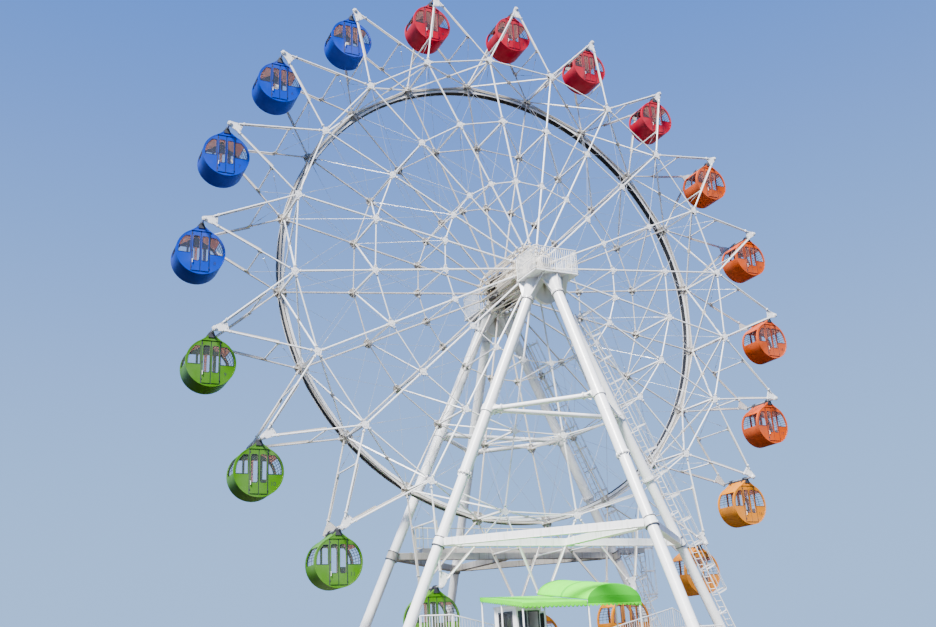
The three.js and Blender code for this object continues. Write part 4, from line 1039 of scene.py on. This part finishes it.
def leg(place, side):
    """A round leg: base plate with stiffeners and anchors, two tubes, flanges and faint weld seams."""
    s = Skin()
    foot, splice, top = (leg_at(place, side, z) for z in (0.0, SPLICE_Z, LEG_TOP))
    up = unit(top - foot)
    slanted_tube(s, foot, splice, 0.225, 0.225, cut_a=0.05)
    slanted_tube(s, splice, top, 0.25, 0.25)
    flange_pair(s, splice, top, 0.30, 20, 0.035)
    slanted_tube(s, splice - 0.008 * up, splice + 0.008 * up, 0.292, 0.292, finish=2)
    slanted_tube(s, top - 0.035 * up, top, 0.305, 0.305)
    spots, out, along = round_about(top, foot, 0.28, 20)
    rods(s, spots, spots + 0.06 * along, 0.016, 6, out, 2)
    for at, toward, inner in ((splice - 0.035 * up, foot, 0.22), (splice + 0.035 * up, top, 0.245)):
        knife_gussets(s, at, toward, inner, 0.29, 0.12, 12)
    for z in (2.4, 4.4, 11.0, 13.6, 15.8):
        at, radius = leg_at(place, side, z), 0.229 if z < SPLICE_Z else 0.254
        slanted_tube(s, at - 0.01 * up, at + 0.01 * up, radius, radius)
    slabs(s, foot + 0.03 * Z, Z, Y, soft_square(1.0, 1.0, 0.05), 0.06)
    a = np.arange(8) * math.pi / 4 + math.pi / 8
    out = xyz(np.cos(a), np.sin(a), 0)
    rib = np.array([[0.2, 0.055], [0.47, 0.055], [0.47, 0.12], [0.2, 0.42]])
    corners = foot + rib[:, :1] * out[:, None] + rib[:, 1:] * Z
    half = 0.012 * np.cross(Z, out)[:, None]
    prisms(s, corners + half, corners - half)
    spots = foot + np.array([[x, y, 0.06] for x in (-0.41, 0, 0.41) for y in (-0.41, 0, 0.41) if x or y])
    rods(s, spots, spots + 0.13 * Z, 0.022, 8, X, 1)
    rods(s, spots, spots + 0.04 * Z, 0.042, 6, X, 1)
    name = f"leg_{END[side]}_{('outer', 'right', 'left')[place]}"
    return s.piece(f"{name}_tube", "support", [LEG_WHITE, PIN_STEEL, DARK_STEEL], "white_paint", [name])


def fin(skin, points, thick):
    """A flat plate through four corners in order, thick across its own plane."""
    points = np.array([points])
    half = thick / 2 * unit(np.cross(points[0, 1] - points[0, 0], points[0, 3] - points[0, 0]))
    return prisms(skin, points + half, points - half)


def hub_support(side):
    """Flared leg heads with broad fins under a hub platform, and the round-bottomed plate between them."""
    s = Skin()
    under = PLATFORM_Z - SOFFIT - GAP
    for place in (-1, 1, 0):
        top, high = leg_at(place, side, LEG_TOP), leg_at(place, side, under + 0.3)
        up = unit(high - top)
        seat = top + 0.0005 * up
        slanted_tube(s, seat + 0.022 * up, seat + 0.055 * up, 0.305, 0.305)
        slanted_tube(s, seat, seat + 0.022 * up, 0.298, 0.298, finish=2)
        slanted_tube(s, seat, high, 0.25, 0.52, cut_b=under)
        knife_gussets(s, seat + 0.055 * up, high, 0.25, 0.295, 0.16, 12)
    reach = {-1: [(-1.12, 2.12), (-0.66, 3.80), (-0.35, 2.75)], 1: [(1.12, 2.12), (0.66, 3.80), (0.35, 2.75)],
             0: [(0.0, 3.83), (-0.62, 3.30), (0.62, 3.30)]}
    for place, tips in reach.items():
        head, foot = leg_at(place, side, under), leg_at(place, side, LEG_TOP + 0.12)
        for x, y in tips:
            edge = np.array([x, side * y, under])
            out = unit((edge - head) * [1, 1, 0])
            fin(s, [foot + 0.2 * out, foot + 0.27 * out, edge - 0.04 * Z, edge], 0.03)
            fin(s, [foot + 0.2 * out, edge, head + 0.2 * out, head + 0.1 * out], 0.0299)
    y = side * BEARING_Y
    a = np.linspace(math.pi, 2 * math.pi, 17)
    curve = np.stack([0.62 * np.cos(a), HUB_Z - 1.56 + 0.56 * np.sin(a)], 1)
    pierced(s, np.concatenate([[[-0.9, under]], curve, [[0.9, under]]]), [], -0.05, 0.05, 1, origin=(0, y, 0))
    rim = xyz(curve[:, 0], y, curve[:, 1])
    carried(s, oblong(-0.012, 0.012, -0.1, 0.1), rim, Y, 1, smooth=False)
    for x in (-0.45, 0.45):
        boxes(s, [x - 0.015, y - 0.16, HUB_Z - 1.7], [x + 0.015, y + 0.16, under], 1)
    return s.piece(f"hub_support_{END[side]}", "support", [LEG_WHITE, HEAD_WHITE, DARK_STEEL], "white_paint",
                   [f"hub_bracket_{END[side]}"])


def baluster_run(skin, corners, base, top, spacing=0.13, finish=0, radius=0.009, rail=0.021, middle=None):
    """Railing from corner to corner: round hand rail, low rail, posts about 1.2 m apart, thin uprights and, if its
    height and radius are given, a middle rail."""
    foot = 0.09
    for start, stop in zip(corners, corners[1:]):
        a, b = np.array([*start, base]), np.array([*stop, base])
        length = np.linalg.norm(b - a)
        t = (b - a) / length
        for h, r in ((top - rail, rail), (foot, 0.014)):
            rods(skin, a + h * Z, b + h * Z, r, 10, Z, finish)
        spots = a + t * np.linspace(0, length, max(1, round(length / 1.2)) + 1)[:, None]
        rods(skin, spots, spots + (top - rail) * Z, 0.022, 8, Y + 0.1 * X, finish)
        slabs(skin, spots + 0.004 * Z, Z, Y, soft_square(0.09, 0.09, 0.01), 0.008, finish)
        n = max(2, int(length / spacing))
        spots = a + t * (np.arange(1, n) / n * length)[:, None]
        rods(skin, spots + foot * Z, spots + (top - rail) * Z, radius, 5, Y + 0.1 * X, finish)
        if middle:
            rods(skin, a + middle[0] * Z, b + middle[0] * Z, middle[1], 8, Z, finish)
    return skin


def hub_platform(side):
    """A platform round a bearing: plate floor on a closed soffit, edge channels and close-set railings."""
    s = Skin()
    near, far = side * 2.05, side * 3.87
    y0, y1 = sorted((near, far))
    boxes(s, [-1.16, y0 + 0.02, PLATFORM_Z - 0.02], [1.16, y1 - 0.02, PLATFORM_Z], 1)
    boxes(s, [-1.15, y0 + 0.03, PLATFORM_Z - SOFFIT], [1.15, y1 - 0.03, PLATFORM_Z - 0.0201])
    edge = xyz(*oblong(-1.165, 1.165, y0 + 0.015, y1 - 0.015).T, PLATFORM_Z - 0.0225)
    lip = oblong(-0.015, 0.015, -0.0375, 0.03)
    for start, stop in zip(edge, np.roll(edge, -1, 0)):
        carried(s, lip, [start, stop], Z, smooth=False)
    inner, outer = near + side * 0.03, far - side * 0.03
    baluster_run(s, [(-1.15, inner), (-1.15, outer), (1.15, outer), (1.15, inner)], PLATFORM_Z, 1.2, 0.1,
                 radius=0.012, rail=0.024, middle=(0.62, 0.014))
    return s.piece(f"hub_platform_{END[side]}_dressed", "support", [BEAM_WHITE, DECK_PAINT], "white_paint",
                   [f"hub_platform_{END[side]}"])


def bearing_block(side):
    """A split plummer block: base with holding bolts, pedestal, round housing, cap joint and end seals."""
    s = Skin()
    y = side * BEARING_Y
    base = PLATFORM_Z + GAP
    boxes(s, [-0.52, y - 0.23, base], [0.52, y + 0.23, base + 0.1])
    pedestal = [[-0.36, base + 0.1], [0.36, base + 0.1], [0.36, HUB_Z - 0.02], [0.21, HUB_Z - 0.02],
                [0.21, HUB_Z - 0.30], [-0.21, HUB_Z - 0.30], [-0.21, HUB_Z - 0.02], [-0.36, HUB_Z - 0.02]]
    pierced(s, pedestal, [], -0.2, 0.2, 0, (X, Z, -Y), (0, y, 0))
    turned(s, [[0.2006, -0.23], [0.30, -0.23], [0.34, -0.19], [0.34, 0.19], [0.30, 0.23], [0.2006, 0.23]],
           HUB + y * Y, 0, 40)
    for x in (-0.375, 0.375):
        boxes(s, [x - 0.06, y - 0.17, HUB_Z - 0.05], [x + 0.06, y + 0.17, HUB_Z + 0.05])
    for x, dy, z, length, radius in ((0.385, 0.1, HUB_Z + 0.05, 0.05, 0.03), (0.45, 0.15, base + 0.1, 0.06, 0.032)):
        spots = np.array([[sx * x, y + sy * dy, z] for sx in (-1, 1) for sy in (-1, 1)])
        rods(s, spots, spots + length * Z, radius, 6, X, 1)
    rods(s, [0, y, HUB_Z + 0.335], [0, y, HUB_Z + 0.39], 0.018, 8, X, 1)
    return s.piece(f"plummer_block_{END[side]}", "support", [HUB_STEEL, PIN_STEEL], "machined_steel",
                   [f"bearing_{END[side]}"])


def collar_bolts(skin, place, side, z, radius):
    """Bolts round the upper rim of a clamp collar."""
    spots, out, along = round_about(leg_at(place, side, z), leg_at(place, side, z + 1), radius, 12)
    rods(skin, spots, spots + 0.03 * along, 0.016, 6, out, 1)


def tie_beams(side):
    """The level box beams between the legs, with bolted joint plates and lips along their lower edges, and slim
    sleeves round the legs between dark clamp rings."""
    s = Skin()
    spots = {p: leg_at(p, side, BEAM_Z) for p in (-1, 1, 0)}
    middle = np.array([0, spots[-1][1], BEAM_Z])
    for a, b, ga, gb in ((spots[-1], spots[1], 0.24, 0.24), (spots[-1], spots[0], 0.24, 0.24),
                         (spots[1], spots[0], 0.24, 0.24), (middle, spots[0], 0.16, 0.24)):
        t = unit(b - a)
        p, q = a + ga * t, b - gb * t
        bars(s, p, q, 0.30, 0.30, Z, chamfer=0.03)
        bars(s, p + 0.5 * t - 0.1505 * Z, q - 0.5 * t - 0.1505 * Z, 0.34, 0.014, Z, 3)
        for at in (p + 0.62 * t, p + 0.66 * t, q - 0.62 * t, q - 0.66 * t):
            slabs(s, at, t, Z, soft_square(0.345, 0.345, 0.02), 0.022, 0)
    for place in (-1, 1, 0):
        low, high = leg_at(place, side, BEAM_Z - 0.165), leg_at(place, side, BEAM_Z + 0.165)
        up = unit(high - low)
        slanted_tube(s, low, high, 0.262, 0.262)
        for at in (low, high):
            slanted_tube(s, at - 0.014 * up, at + 0.014 * up, 0.282, 0.282, finish=2)
        collar_bolts(s, place, side, BEAM_Z + 0.175, 0.266)
    # The rear beams and their lips are dark: grime together with painted shade.
    coat, lip = (BEAM_WHITE, BEAM_WHITE) if side < 0 else (OLD_AND_SHADED_BEAM, GRIME_AND_SHADE_STEEL)
    return s.piece(f"tie_beams_{END[side]}", "support", [coat, PIN_STEEL, DARK_STEEL, lip], "white_paint",
                   [f"beam_set_{END[side]}"])


def brace_tubes(side):
    """Round level braces high on the legs, with sleeves and bolted flanges near each clamp collar."""
    s = Skin()
    spots = {p: leg_at(p, side, BRACE_Z) for p in (-1, 1, 0)}
    for a, b in ((spots[-1], spots[1]), (spots[-1], spots[0]), (spots[1], spots[0])):
        t = unit(b - a)
        slanted_tube(s, a + 0.24 * t, b - 0.24 * t, 0.11, 0.11, count=24)
        for p, d in ((a, t), (b, -t)):
            slanted_tube(s, p + 0.24 * d, p + 0.62 * d, 0.128, 0.128, count=24)
            flange_pair(s, p + 0.66 * d, p + d, 0.17, 10, 0.03)
            knife_gussets(s, p + 0.31 * d, p + d, 0.12, 0.22, 0.24, 4)
    for place in (-1, 1, 0):
        a, b = leg_at(place, side, BRACE_Z - 0.13), leg_at(place, side, BRACE_Z + 0.13)
        slanted_tube(s, a, b, 0.292, 0.292)
        collar_bolts(s, place, side, BRACE_Z + 0.13, 0.272)
    return s.piece(f"brace_tubes_{END[side]}", "support", [LEG_WHITE, PIN_STEEL], "white_paint",
                   [f"brace_set_{END[side]}"])


LADDER_HALF = 0.22


def caged_ladder(skin, low, high, out, first=2.9, pitch=1.2):
    """Rails, rungs a foot apart, and round hoops tied by three straps."""
    line = unit(high - low)
    across = np.cross(out, line)
    length = np.linalg.norm(high - low)
    for half in (-LADDER_HALF, LADDER_HALF):
        bars(skin, low + half * across, high + half * across, 0.055, 0.035, out)
    at = low + np.arange(0.15, length, 0.3)[:, None] * line
    rods(skin, at - LADDER_HALF * across, at + LADDER_HALF * across, 0.016, 6, out)
    a = np.radians(np.linspace(180, 0, 13))
    u = np.concatenate([[-0.225], 0.31 * np.cos(a), [0.225]])
    v = np.concatenate([[0.0], 0.34 + 0.31 * np.sin(a), [0.0]])
    hoop = u[:, None] * across + v[:, None] * out
    path = low + np.arange(first, length, pitch)[:, None, None] * line + hoop
    carried(skin, oblong(-0.005, 0.005, -0.034, 0.034), path, line, smooth=False)
    for i in (4, 7, 10):
        shift = hoop[i] - 0.006 * out
        bars(skin, low + first * line + shift, high + shift, 0.045, 0.008, out)
    return skin


def leg_ladder(side):
    """The caged ladder beside a right leg, on paired brackets."""
    s = Skin()
    out = unit(np.array([1.0, 0, SPREAD]))
    low, high = (leg_at(1, side, z) + 0.58 * out for z in (0.9, HUB_Z - 2.6))
    caged_ladder(s, low, high, out)
    spots = low + np.array([0.12, 0.4, 0.64, 0.88])[:, None] * (high - low)
    for sy in (-0.214, 0.214):
        bars(s, spots + sy * Y, spots + sy * Y - 0.45 * out, 0.04, 0.04, Y)
    bars(s, spots - 0.30 * out - 0.235 * Y, spots - 0.30 * out + 0.235 * Y, 0.06, 0.03, out)
    return s.piece(f"caged_ladder_{END[side]}", "support", [WHITE], "white_paint", [f"leg_ladder_{END[side]}"])


def service_platform():
    """The narrow service deck along the rear beam: grating bars in a frame of deep edge channels, cross members
    under them, and pale yellow railings with a rail half way up."""
    s = Skin()
    x0, x1, y0, y1 = SERVICE
    base, edge = SERVICE_Z - 0.27, 0.07
    boxes(s, [[x0, y0, base], [x0, y1 - edge, base], [x0, y0 + edge, base], [x1 - edge, y0 + edge, base]],
          [[x1, y0 + edge, SERVICE_Z], [x1, y1, SERVICE_Z], [x0 + edge, y1 - edge, SERVICE_Z - 0.0005],
           [x1 - edge, y1 - edge, SERVICE_Z - 0.0005]])
    x = np.linspace(x0 + 1.0, x1 - 1.1, 10)
    # Cross members and grating are in the dark under-deck steel: painted shade under the deck as well as grime.
    boxes(s, xyz(x, y0 + edge, base + 0.08), xyz(x + 0.07, y1 - edge, SERVICE_Z - 0.031), 1)
    y = np.arange(y0 + edge + 0.012, y1 - edge - 0.025, 0.045)
    boxes(s, xyz(x0 + edge, y, SERVICE_Z - 0.03), xyz(x1 - edge, y + 0.02, SERVICE_Z - 0.001), 1)
    corners = [(x0 + 0.04, y0 + 0.04), (x0 + 0.04, y1 - 0.04), (x1 - 0.04, y1 - 0.04), (x1 - 0.04, y1 - 0.20)]
    baluster_run(s, corners, SERVICE_Z, 1.075, 0.6, 2, 0.014, middle=(0.55, 0.016))
    return s.piece("service_platform", "support", [GUSSET, GRIME_AND_SHADE_STEEL, RAIL_YELLOW], "white_paint", ["service_deck"])


def ground_ladder():
    """The ladder to the right end of the service deck, hooked to its edge, with a cage round its upper part."""
    s = Skin()
    x, y = 8.36, 3.48
    caged_ladder(s, np.array([x, y, 0.0]), np.array([x, y, SERVICE_Z + 0.9]), X, 4.2, 1.18)
    for rail_y in (y - LADDER_HALF, y + LADDER_HALF):
        boxes(s, [SERVICE[1] + GAP, rail_y - 0.02, SERVICE_Z - 0.06], [x, rail_y + 0.02, SERVICE_Z - 0.01])
        boxes(s, [x - 0.05, rail_y - 0.05, 0.0], [x + 0.05, rail_y + 0.05, 0.012])
    return s.piece("service_ladder", "support", [WHITE], "white_paint", ["ground_ladder"])


for side in (-1, 1):
    for place in (-1, 1, 0):
        leg(place, side)
    hub_support(side)
    hub_platform(side)
    bearing_block(side)
    tie_beams(side)
    brace_tubes(side)
for side in (-1, 1):
    leg_ladder(side)
service_platform()
ground_ladder()


# The station

DECK = (-6.4, 4.8, -6.6, -0.85)  # x0, x1, y0, y1
BOOTH = (-4.0, -2.9, -5.0, -3.2)
STEPS = (-1.9, 1.5)
EAVES_Y = -6.0  # front edge of both canopies
SLOPE = 0.12


def boarding_deck():
    """Boards on joists and square posts with foot plates, a skirt in front and a painted line at the edge."""
    s = Skin()
    x0, x1, y0, y1 = DECK
    under, board = DECK_Z - 0.09, DECK_Z - 0.03
    skirt = under - 0.26
    edges = np.linspace(y0, y1, 42)
    boxes(s, xyz(x0, edges[:-1] + 0.003, board), xyz(x1, edges[1:] - 0.003, DECK_Z), 1)
    x = np.linspace(x0, x1 - 0.05, 13)
    boxes(s, xyz(x, y0 + 0.081, under), xyz(x + 0.05, y1 - 0.001, board))
    boxes(s, [[x0, y1 - 0.03, under], [x0, y0, skirt]], [[x1, y1 - 0.001, board], [x1, y0 + 0.02, board]])
    x = np.linspace(x0, x1 - 0.04, 12)
    boxes(s, xyz(x, y0 + 0.02, skirt), xyz(x + 0.04, y0 + 0.08, board))
    boxes(s, [x0 + 0.02, y1 - 0.30, DECK_Z], [x1 - 0.02, y1 - 0.20, DECK_Z + 0.002], 2)
    px, py = np.meshgrid(np.linspace(x0 + 0.4, x1 - 0.4, 4), np.linspace(y0 + 0.4, y1 - 0.4, 3))
    at = xyz(px.ravel(), py.ravel(), 0)
    bars(s, at, at + under * Z, 0.14, 0.14, Y)
    boxes(s, at - [0.13, 0.13, 0], at + [0.13, 0.13, 0.015])
    lean = at + (under - 0.4) * Z
    for sx in (-1, 1):
        bars(s, lean, lean + [sx * 0.38, 0, 0.39], 0.05, 0.05, Y)
    boxes(s, at + [-0.7, -0.04, under - 0.09], at + [0.7, 0.04, under])
    return s.piece("deck_boards", "support", [BEAM_WHITE, DECK_PAINT, RAIL_YELLOW], "deck_boards", ["boarding_deck"])


def deck_stairs():
    """Seven closed steps with bright nosings and a sloping hand rail on each side."""
    s = Skin()
    rise, tread = DECK_Z / 8, 0.27
    y0 = DECK[2] - 7 * tread - GAP
    x0, x1 = STEPS
    i = np.arange(7)
    boxes(s, xyz(x0, y0 + i * tread, 0), xyz(x1, y0 + (i + 1) * tread, (i + 1) * rise), 0)
    boxes(s, xyz(x0, y0 + i * tread, (i + 1) * rise - 0.02),
          xyz(x1, y0 + i * tread + 0.05, (i + 1) * rise + 0.003), 1)
    for x in (x0 + 0.05, x1 - 0.05):
        foot, head = np.array([x, y0 + 0.1, rise]), np.array([x, y0 + 6.6 * tread, 7 * rise])
        for h in (0.5, 0.9):
            rods(s, foot + h * Z, head + h * Z, 0.02, 10, X, 2)
        spots = foot + np.array([0.0, 0.5, 1.0])[:, None] * (head - foot)
        rods(s, spots - 0.1 * Z, spots + 0.9 * Z, 0.02, 8, X, 2)
    return s.piece("deck_stairs", "support", [DECK_PAINT, RAIL_YELLOW, LEG_WHITE], "deck_boards", ["deck_steps"])


def deck_railing(name, corners, line):
    """A white railing along the deck's edge with close-set thin uprights, and the taller guard on the wheel's
    side, whose top rail follows a line of (x, z) points."""
    s = Skin()
    baluster_run(s, corners, DECK_Z + GAP, 1.08, 0.12)
    along, height = np.transpose(line)
    y, low, stop = corners[0][1], DECK_Z + 0.10, along[-1]
    path = xyz(along, y, height)
    rods(s, path[:-1], path[1:], 0.026, 10, Y)
    rods(s, path, path - 0.001 * Z, 0.026, 10, Y)
    rods(s, [along[0], y, low], [stop, y, low], 0.016, 8, Y)
    x = np.arange(along[0] + 0.06, stop, 0.125)
    rods(s, xyz(x, y, low), xyz(x, y, np.interp(x, along, height)), 0.011, 5, X)
    x = np.concatenate([np.linspace(a, b, max(1, round((b - a) / 1.5)), endpoint=False)
                        for a, b in zip(along, along[1:])] + [[stop]])
    spots = xyz(x, y, np.where(x > DECK[1], 0.0, DECK_Z + GAP))
    rods(s, spots, xyz(x, y, np.interp(x, along, height)), 0.025, 8, X)
    slabs(s, spots + 0.005 * Z, Z, Y, soft_square(0.1, 0.1, 0.01), 0.0098)
    return s.piece(f"{name}_railing", "support", [LEG_WHITE], "white_paint", [name])


def climb(y):
    """Rise of both canopies from their front edge back to y."""
    return (y - EAVES_Y) * SLOPE


def booth():
    """Window frames, sliding sashes, corner trims, skirting, roof cap and the open door of the booth."""
    s = Skin()
    x0, x1, y0, y1 = BOOTH
    z0, z1 = DECK_Z + GAP, 3.428
    sill, head = DECK_Z + 0.95, z1 - 0.26
    left = oblong(-(y1 - 0.35), -(y0 + 0.35), sill, head)
    side = dict(frame_axes=(-Y, Z, -X))
    pierced(s, grown(left, 0.05), [grown(left, -0.03)], -x0 - 0.03, -x0 + 0.018, 1, **side)
    mid = (left[0, 0] + left[1, 0]) / 2
    pierced(s, oblong(mid - 0.02, mid + 0.02, sill, head), [], -x0 - 0.03, -x0 + 0.012, 1, **side)
    # Panes in the near-black booth glass, which paints the shade of the room behind.
    pierced(s, grown(left, -0.02), [], -x0 - 0.012, -x0 - 0.006, 2, **side)
    front = oblong(x0 + 0.12, x0 + 0.43, sill, head)
    pierced(s, grown(front, 0.04), [grown(front, -0.025)], -y0 - 0.03, -y0 + 0.018, 1)
    pierced(s, grown(front, -0.02), [], -y0 - 0.012, -y0 - 0.006, 2)
    door = oblong(x1 - 0.56, x1 - 0.11, z0 + 0.08, head)
    pierced(s, grown(door, 0.04), [grown(door, -0.002)], -y0 - 0.05, -y0 + 0.02, 1)
    leaf = oblong(-0.445, 0.0, z0 + 0.09, head - 0.005)
    pane = oblong(-0.36, -0.09, z0 + 0.95, head - 0.1, 0.03)
    hung = dict(frame_axes=(Y, Z, X), origin=(x1 - 0.085, y0 - 0.02, 0))
    pierced(s, leaf, [pane], 0.0, 0.035, 0, **hung)
    pierced(s, grown(pane, 0.02), [grown(pane, -0.012)], -0.006, 0.041, 1, **hung)
    pierced(s, pane, [], 0.015, 0.02, 2, **hung)
    corner = np.array([[x, y] for x in (x0 + 0.005, x1 - 0.005) for y in (y0 + 0.005, y1 - 0.005)])
    boxes(s, xyz(*(corner - 0.025).T, z0), xyz(*(corner + 0.025).T, z1))
    boxes(s, [x0 - 0.05, y0 - 0.05, z1 - 0.04], [x1 + 0.05, y1 + 0.05, z1 + 0.025])
    for z in (z0 + 0.03, DECK_Z + 0.80):
        boxes(s, [[x0 - 0.012, y0, z], [x0, y1, z], [x1, y0, z]],
              [[x0, y1, z + 0.05], [x1, y1 + 0.012, z + 0.05], [x1 + 0.012, y1, z + 0.05]], 1)
    handle = np.array([x1 - 0.05, y0 - 0.42, DECK_Z + 0.98])
    rods(s, handle, handle + 0.22 * Z, 0.011, 8, X, 3)
    return s.piece("booth_fittings", "support", [BOOTH_WHITE, TRIM_M, BOOTH_GLASS, PIN_STEEL], "white_paint")


# The vault: middle, half width, height of its springing, rise above it
VAULT_X, VAULT_HALF, SPRING, RISE = -0.03, 1.28, 3.41, 0.70


def vault_line(theta, inset=0.0):
    """The vault's section: half an ellipse, theta from 0 at the right to pi at the left. Gives x and z."""
    return VAULT_X + (VAULT_HALF - inset) * np.cos(theta), SPRING + (RISE - inset) * np.sin(theta)


def canopy_tubes():
    """Round posts on bolted feet, square eaves tubes and three bent bows under the vault."""
    s = Skin()
    left, middle, right = -4.2, -1.24, 1.1993
    post = np.array([(left, -2.46), (left, -4.2), (left, -5.94), (middle, -2.46), (middle, -5.94), (right, -2.06),
                     (right, -4.2), (right, -5.94)])
    eaves_z = 3.4397
    spots = xyz(*post.T, DECK_Z + GAP)
    rods(s, spots, xyz(*post.T, eaves_z + climb(post[:, 1])), 0.034, 16, X)
    rods(s, spots, spots + 0.06 * Z, 0.05, 16, X)
    boxes(s, spots - [0.1, 0.1, 0], spots + [0.1, 0.1, 0.01])
    bolts = (spots[:, None] + np.array([[u, v, 0.01] for u in (-0.07, 0.07) for v in (-0.07, 0.07)])).reshape(-1, 3)
    rods(s, bolts, bolts + 0.02 * Z, 0.012, 6, X, 1)
    xa, ya, xb, yb = np.transpose([
        (-4.22, -5.94, 1.22, -5.94), (-4.22, -2.46, middle, -2.46), (middle, -2.06, 1.22, -2.06),
        (left, -5.96, left, -2.44), (middle, -5.96, middle, -2.04), (right, -5.96, right, -2.04)])
    bars(s, xyz(xa, ya, eaves_z + climb(ya)), xyz(xb, yb, eaves_z + climb(yb)), 0.05, 0.05, Z)
    x, z = vault_line(np.linspace(0.06, math.pi - 0.06, 25), 0.035)
    for y in (-5.93, -4.0, -2.07):
        carried(s, ring(0.018, 8), xyz(x, y, z + climb(y)), Y)
    return s.piece("canopy_tubes", "support", [LEG_WHITE, PIN_STEEL], "white_paint", ["canopy_frame"])


def cloth_piece(name, grid, material, replaces=(), thickness=0.003):
    """A sheet of cloth from a grid of points (m, n, 3), given its thickness inwards by a modifier."""
    m, n, _ = grid.shape
    s = Skin()
    i = np.arange(m * n).reshape(m, n)
    s.add(grid, [np.stack([i[:-1, :-1], i[1:, :-1], i[1:, 1:], i[:-1, 1:]], -1).reshape(-1, 4)])
    made = s.piece(name, "support", [material], "canopy_fabric", replaces, crease=60)
    solid = made.modifiers.new("thickness", "SOLIDIFY")
    solid.thickness, solid.offset = thickness, -1.0
    return made


def scallop(t):
    """The lower edge of a valance: rounded tongues, deepest in their middles, as a height to add."""
    width, depth = 0.19, 0.09
    return depth * (1.0 - np.abs(np.sin(math.pi * t / width)) ** 0.7)


def canopy_cloth(name, cloth, shade):
    """A dull coated cloth in one colour with painted shade in its creases."""
    return finish(name, WEAVE, {"Cloth": (*cloth, 1), "Shade": (*shade, 1)}, 0.006, Specular_IOR_Level=0.1)


CLOTH = canopy_cloth("lime_canopy_cloth", (0.09, 0.74, 0.005), (0.07, 0.60, 0.004))
# Darker copies of the lime cloth: painted shade on the vault's front end, deepest low down, and the middle bow's
# painted shadow on the vault.
SHADED_CLOTH = canopy_cloth("shaded_green_canopy_cloth", (0.040, 0.50, 0.016), (0.030, 0.42, 0.010))
DEEP_SHADED_CLOTH = canopy_cloth("deep_shaded_green_canopy_cloth", (0.026, 0.36, 0.010), (0.018, 0.29, 0.007))


def flat_canopy():
    """The flat canopy: a stretched sheet that dips between its eaves and hangs down at the left as a valance;
    the front valance is a strip of the same cloth."""
    left, right = -4.26, -1.34
    share = np.linspace(0, 1, 5)[:, None]
    y = np.linspace(EAVES_Y, -2.4, 241)
    x = np.linspace(left, right, 33)[:, None]
    top = 3.48 + climb(y)
    bulge = np.sin(math.pi * (x - left) / (right - left))
    dip = -0.045 * bulge * np.sin(math.pi * np.linspace(0, 1, 241)) ** 0.8
    wave = -0.006 * np.abs(np.sin(math.pi * (x + 0.5 * y) / 0.9)) * bulge
    roof = xyz(x, y, top + dip + wave)
    side = xyz(left + 0.004 * np.sin(4 * y), y, top - (1 - share) * (0.21 - scallop(y)))
    made = cloth_piece("flat_canopy_cloth", np.concatenate([side, roof[1:]]), CLOTH, ["canopy_flat"])
    x = np.linspace(left, right, 199)
    front = xyz(x, EAVES_Y + 0.004 * np.sin(5 * x), 3.478 - (1 - share) * (0.24 - scallop(x)))
    front = cloth_piece("flat_canopy_front_valance", front[:, ::-1], CLOTH)


def vault_canopy():
    """The vaulted canopy: one sheet over three bows with a scalloped hem at the right, a seamed strip round its
    middle darkened as the middle bow's painted shadow, and a front end closed by an upper panel in painted shade,
    a lower panel in deeper painted shade and a scalloped hem."""
    y = np.linspace(EAVES_Y, -2.0, 241)
    x, z = vault_line(np.linspace(0, math.pi * (1 - 0.042), 49)[:, None])
    draw = 1 - 0.012 * np.abs(np.sin(math.pi * (y - EAVES_Y) / 2.0)) / RISE
    over = xyz(VAULT_X + (x - VAULT_X) * draw, y, SPRING + (z - SPRING) * draw + climb(y))
    share = np.linspace(0, 1, 5)[:-1, None]
    hem = xyz(over[0, :, 0], y, SPRING + climb(y) - (1 - share) * (0.23 - scallop(y)))
    made = cloth_piece("vault_canopy_cloth", np.concatenate([hem, over])[:, ::-1], CLOTH, ["canopy_vault"])
    # A darker strip over the middle bow: a seamed band with the bow's shadow through the cloth painted in.
    y = np.linspace(-3.93, -4.07, 3)
    seam_and_shadow = xyz(VAULT_X + (x - VAULT_X) * 1.003, y, SPRING + (z - SPRING) * 1.006 + climb(y))
    seam_and_shadow = cloth_piece("vault_seam_shadow_strip", seam_and_shadow, SHADED_CLOTH, thickness=0.002)
    u = np.linspace(-1, 1, 181)
    base = SPRING - 0.16
    crown = SPRING + RISE * np.sqrt(1 - (0.995 * u) ** 2) - 0.004
    # The end panels are darker copies of the cloth, as painted shade on the end face, deepest in its lower part.
    for name, low, high, material, cut in (("vault_end_upper", 0.42, 1.0, SHADED_CLOTH, 0.0),
                                           ("vault_end_lower", 0.13, 0.42, DEEP_SHADED_CLOTH, 0.0),
                                           ("vault_end_hem", 0.0, 0.13, CLOTH, scallop(u * VAULT_HALF))):
        ceiling = np.minimum(crown, base + high * (SPRING + RISE - base))
        floor = np.minimum(base + low * (SPRING + RISE - base) + cut, ceiling - 0.002)
        tall = ceiling - floor
        keep = tall > 0.004
        panel = xyz(VAULT_X + 0.995 * VAULT_HALF * u, -5.998, floor + np.linspace(0, 1, 13)[:, None] * tall)[:, keep]
        end = cloth_piece(name, panel[:, ::-1], material)


boarding_deck()
deck_stairs()
deck_railing("deck_rail_left", [(-6.34, -0.91), (-6.34, -6.54), (-1.96, -6.54)],
             [(-6.34, 3.33), (-4.84, 3.33), (-2.90, 2.845)])
deck_railing("deck_rail_right", [(4.74, -0.91), (4.74, -6.54), (1.56, -6.54)],
             [(2.40, 2.37), (4.74, 2.88), (6.60, 3.29), (8.38, 2.37)])
recoat(["operator_booth"], BOOTH_WHITE)
booth()
canopy_tubes()
flat_canopy()
vault_canopy()
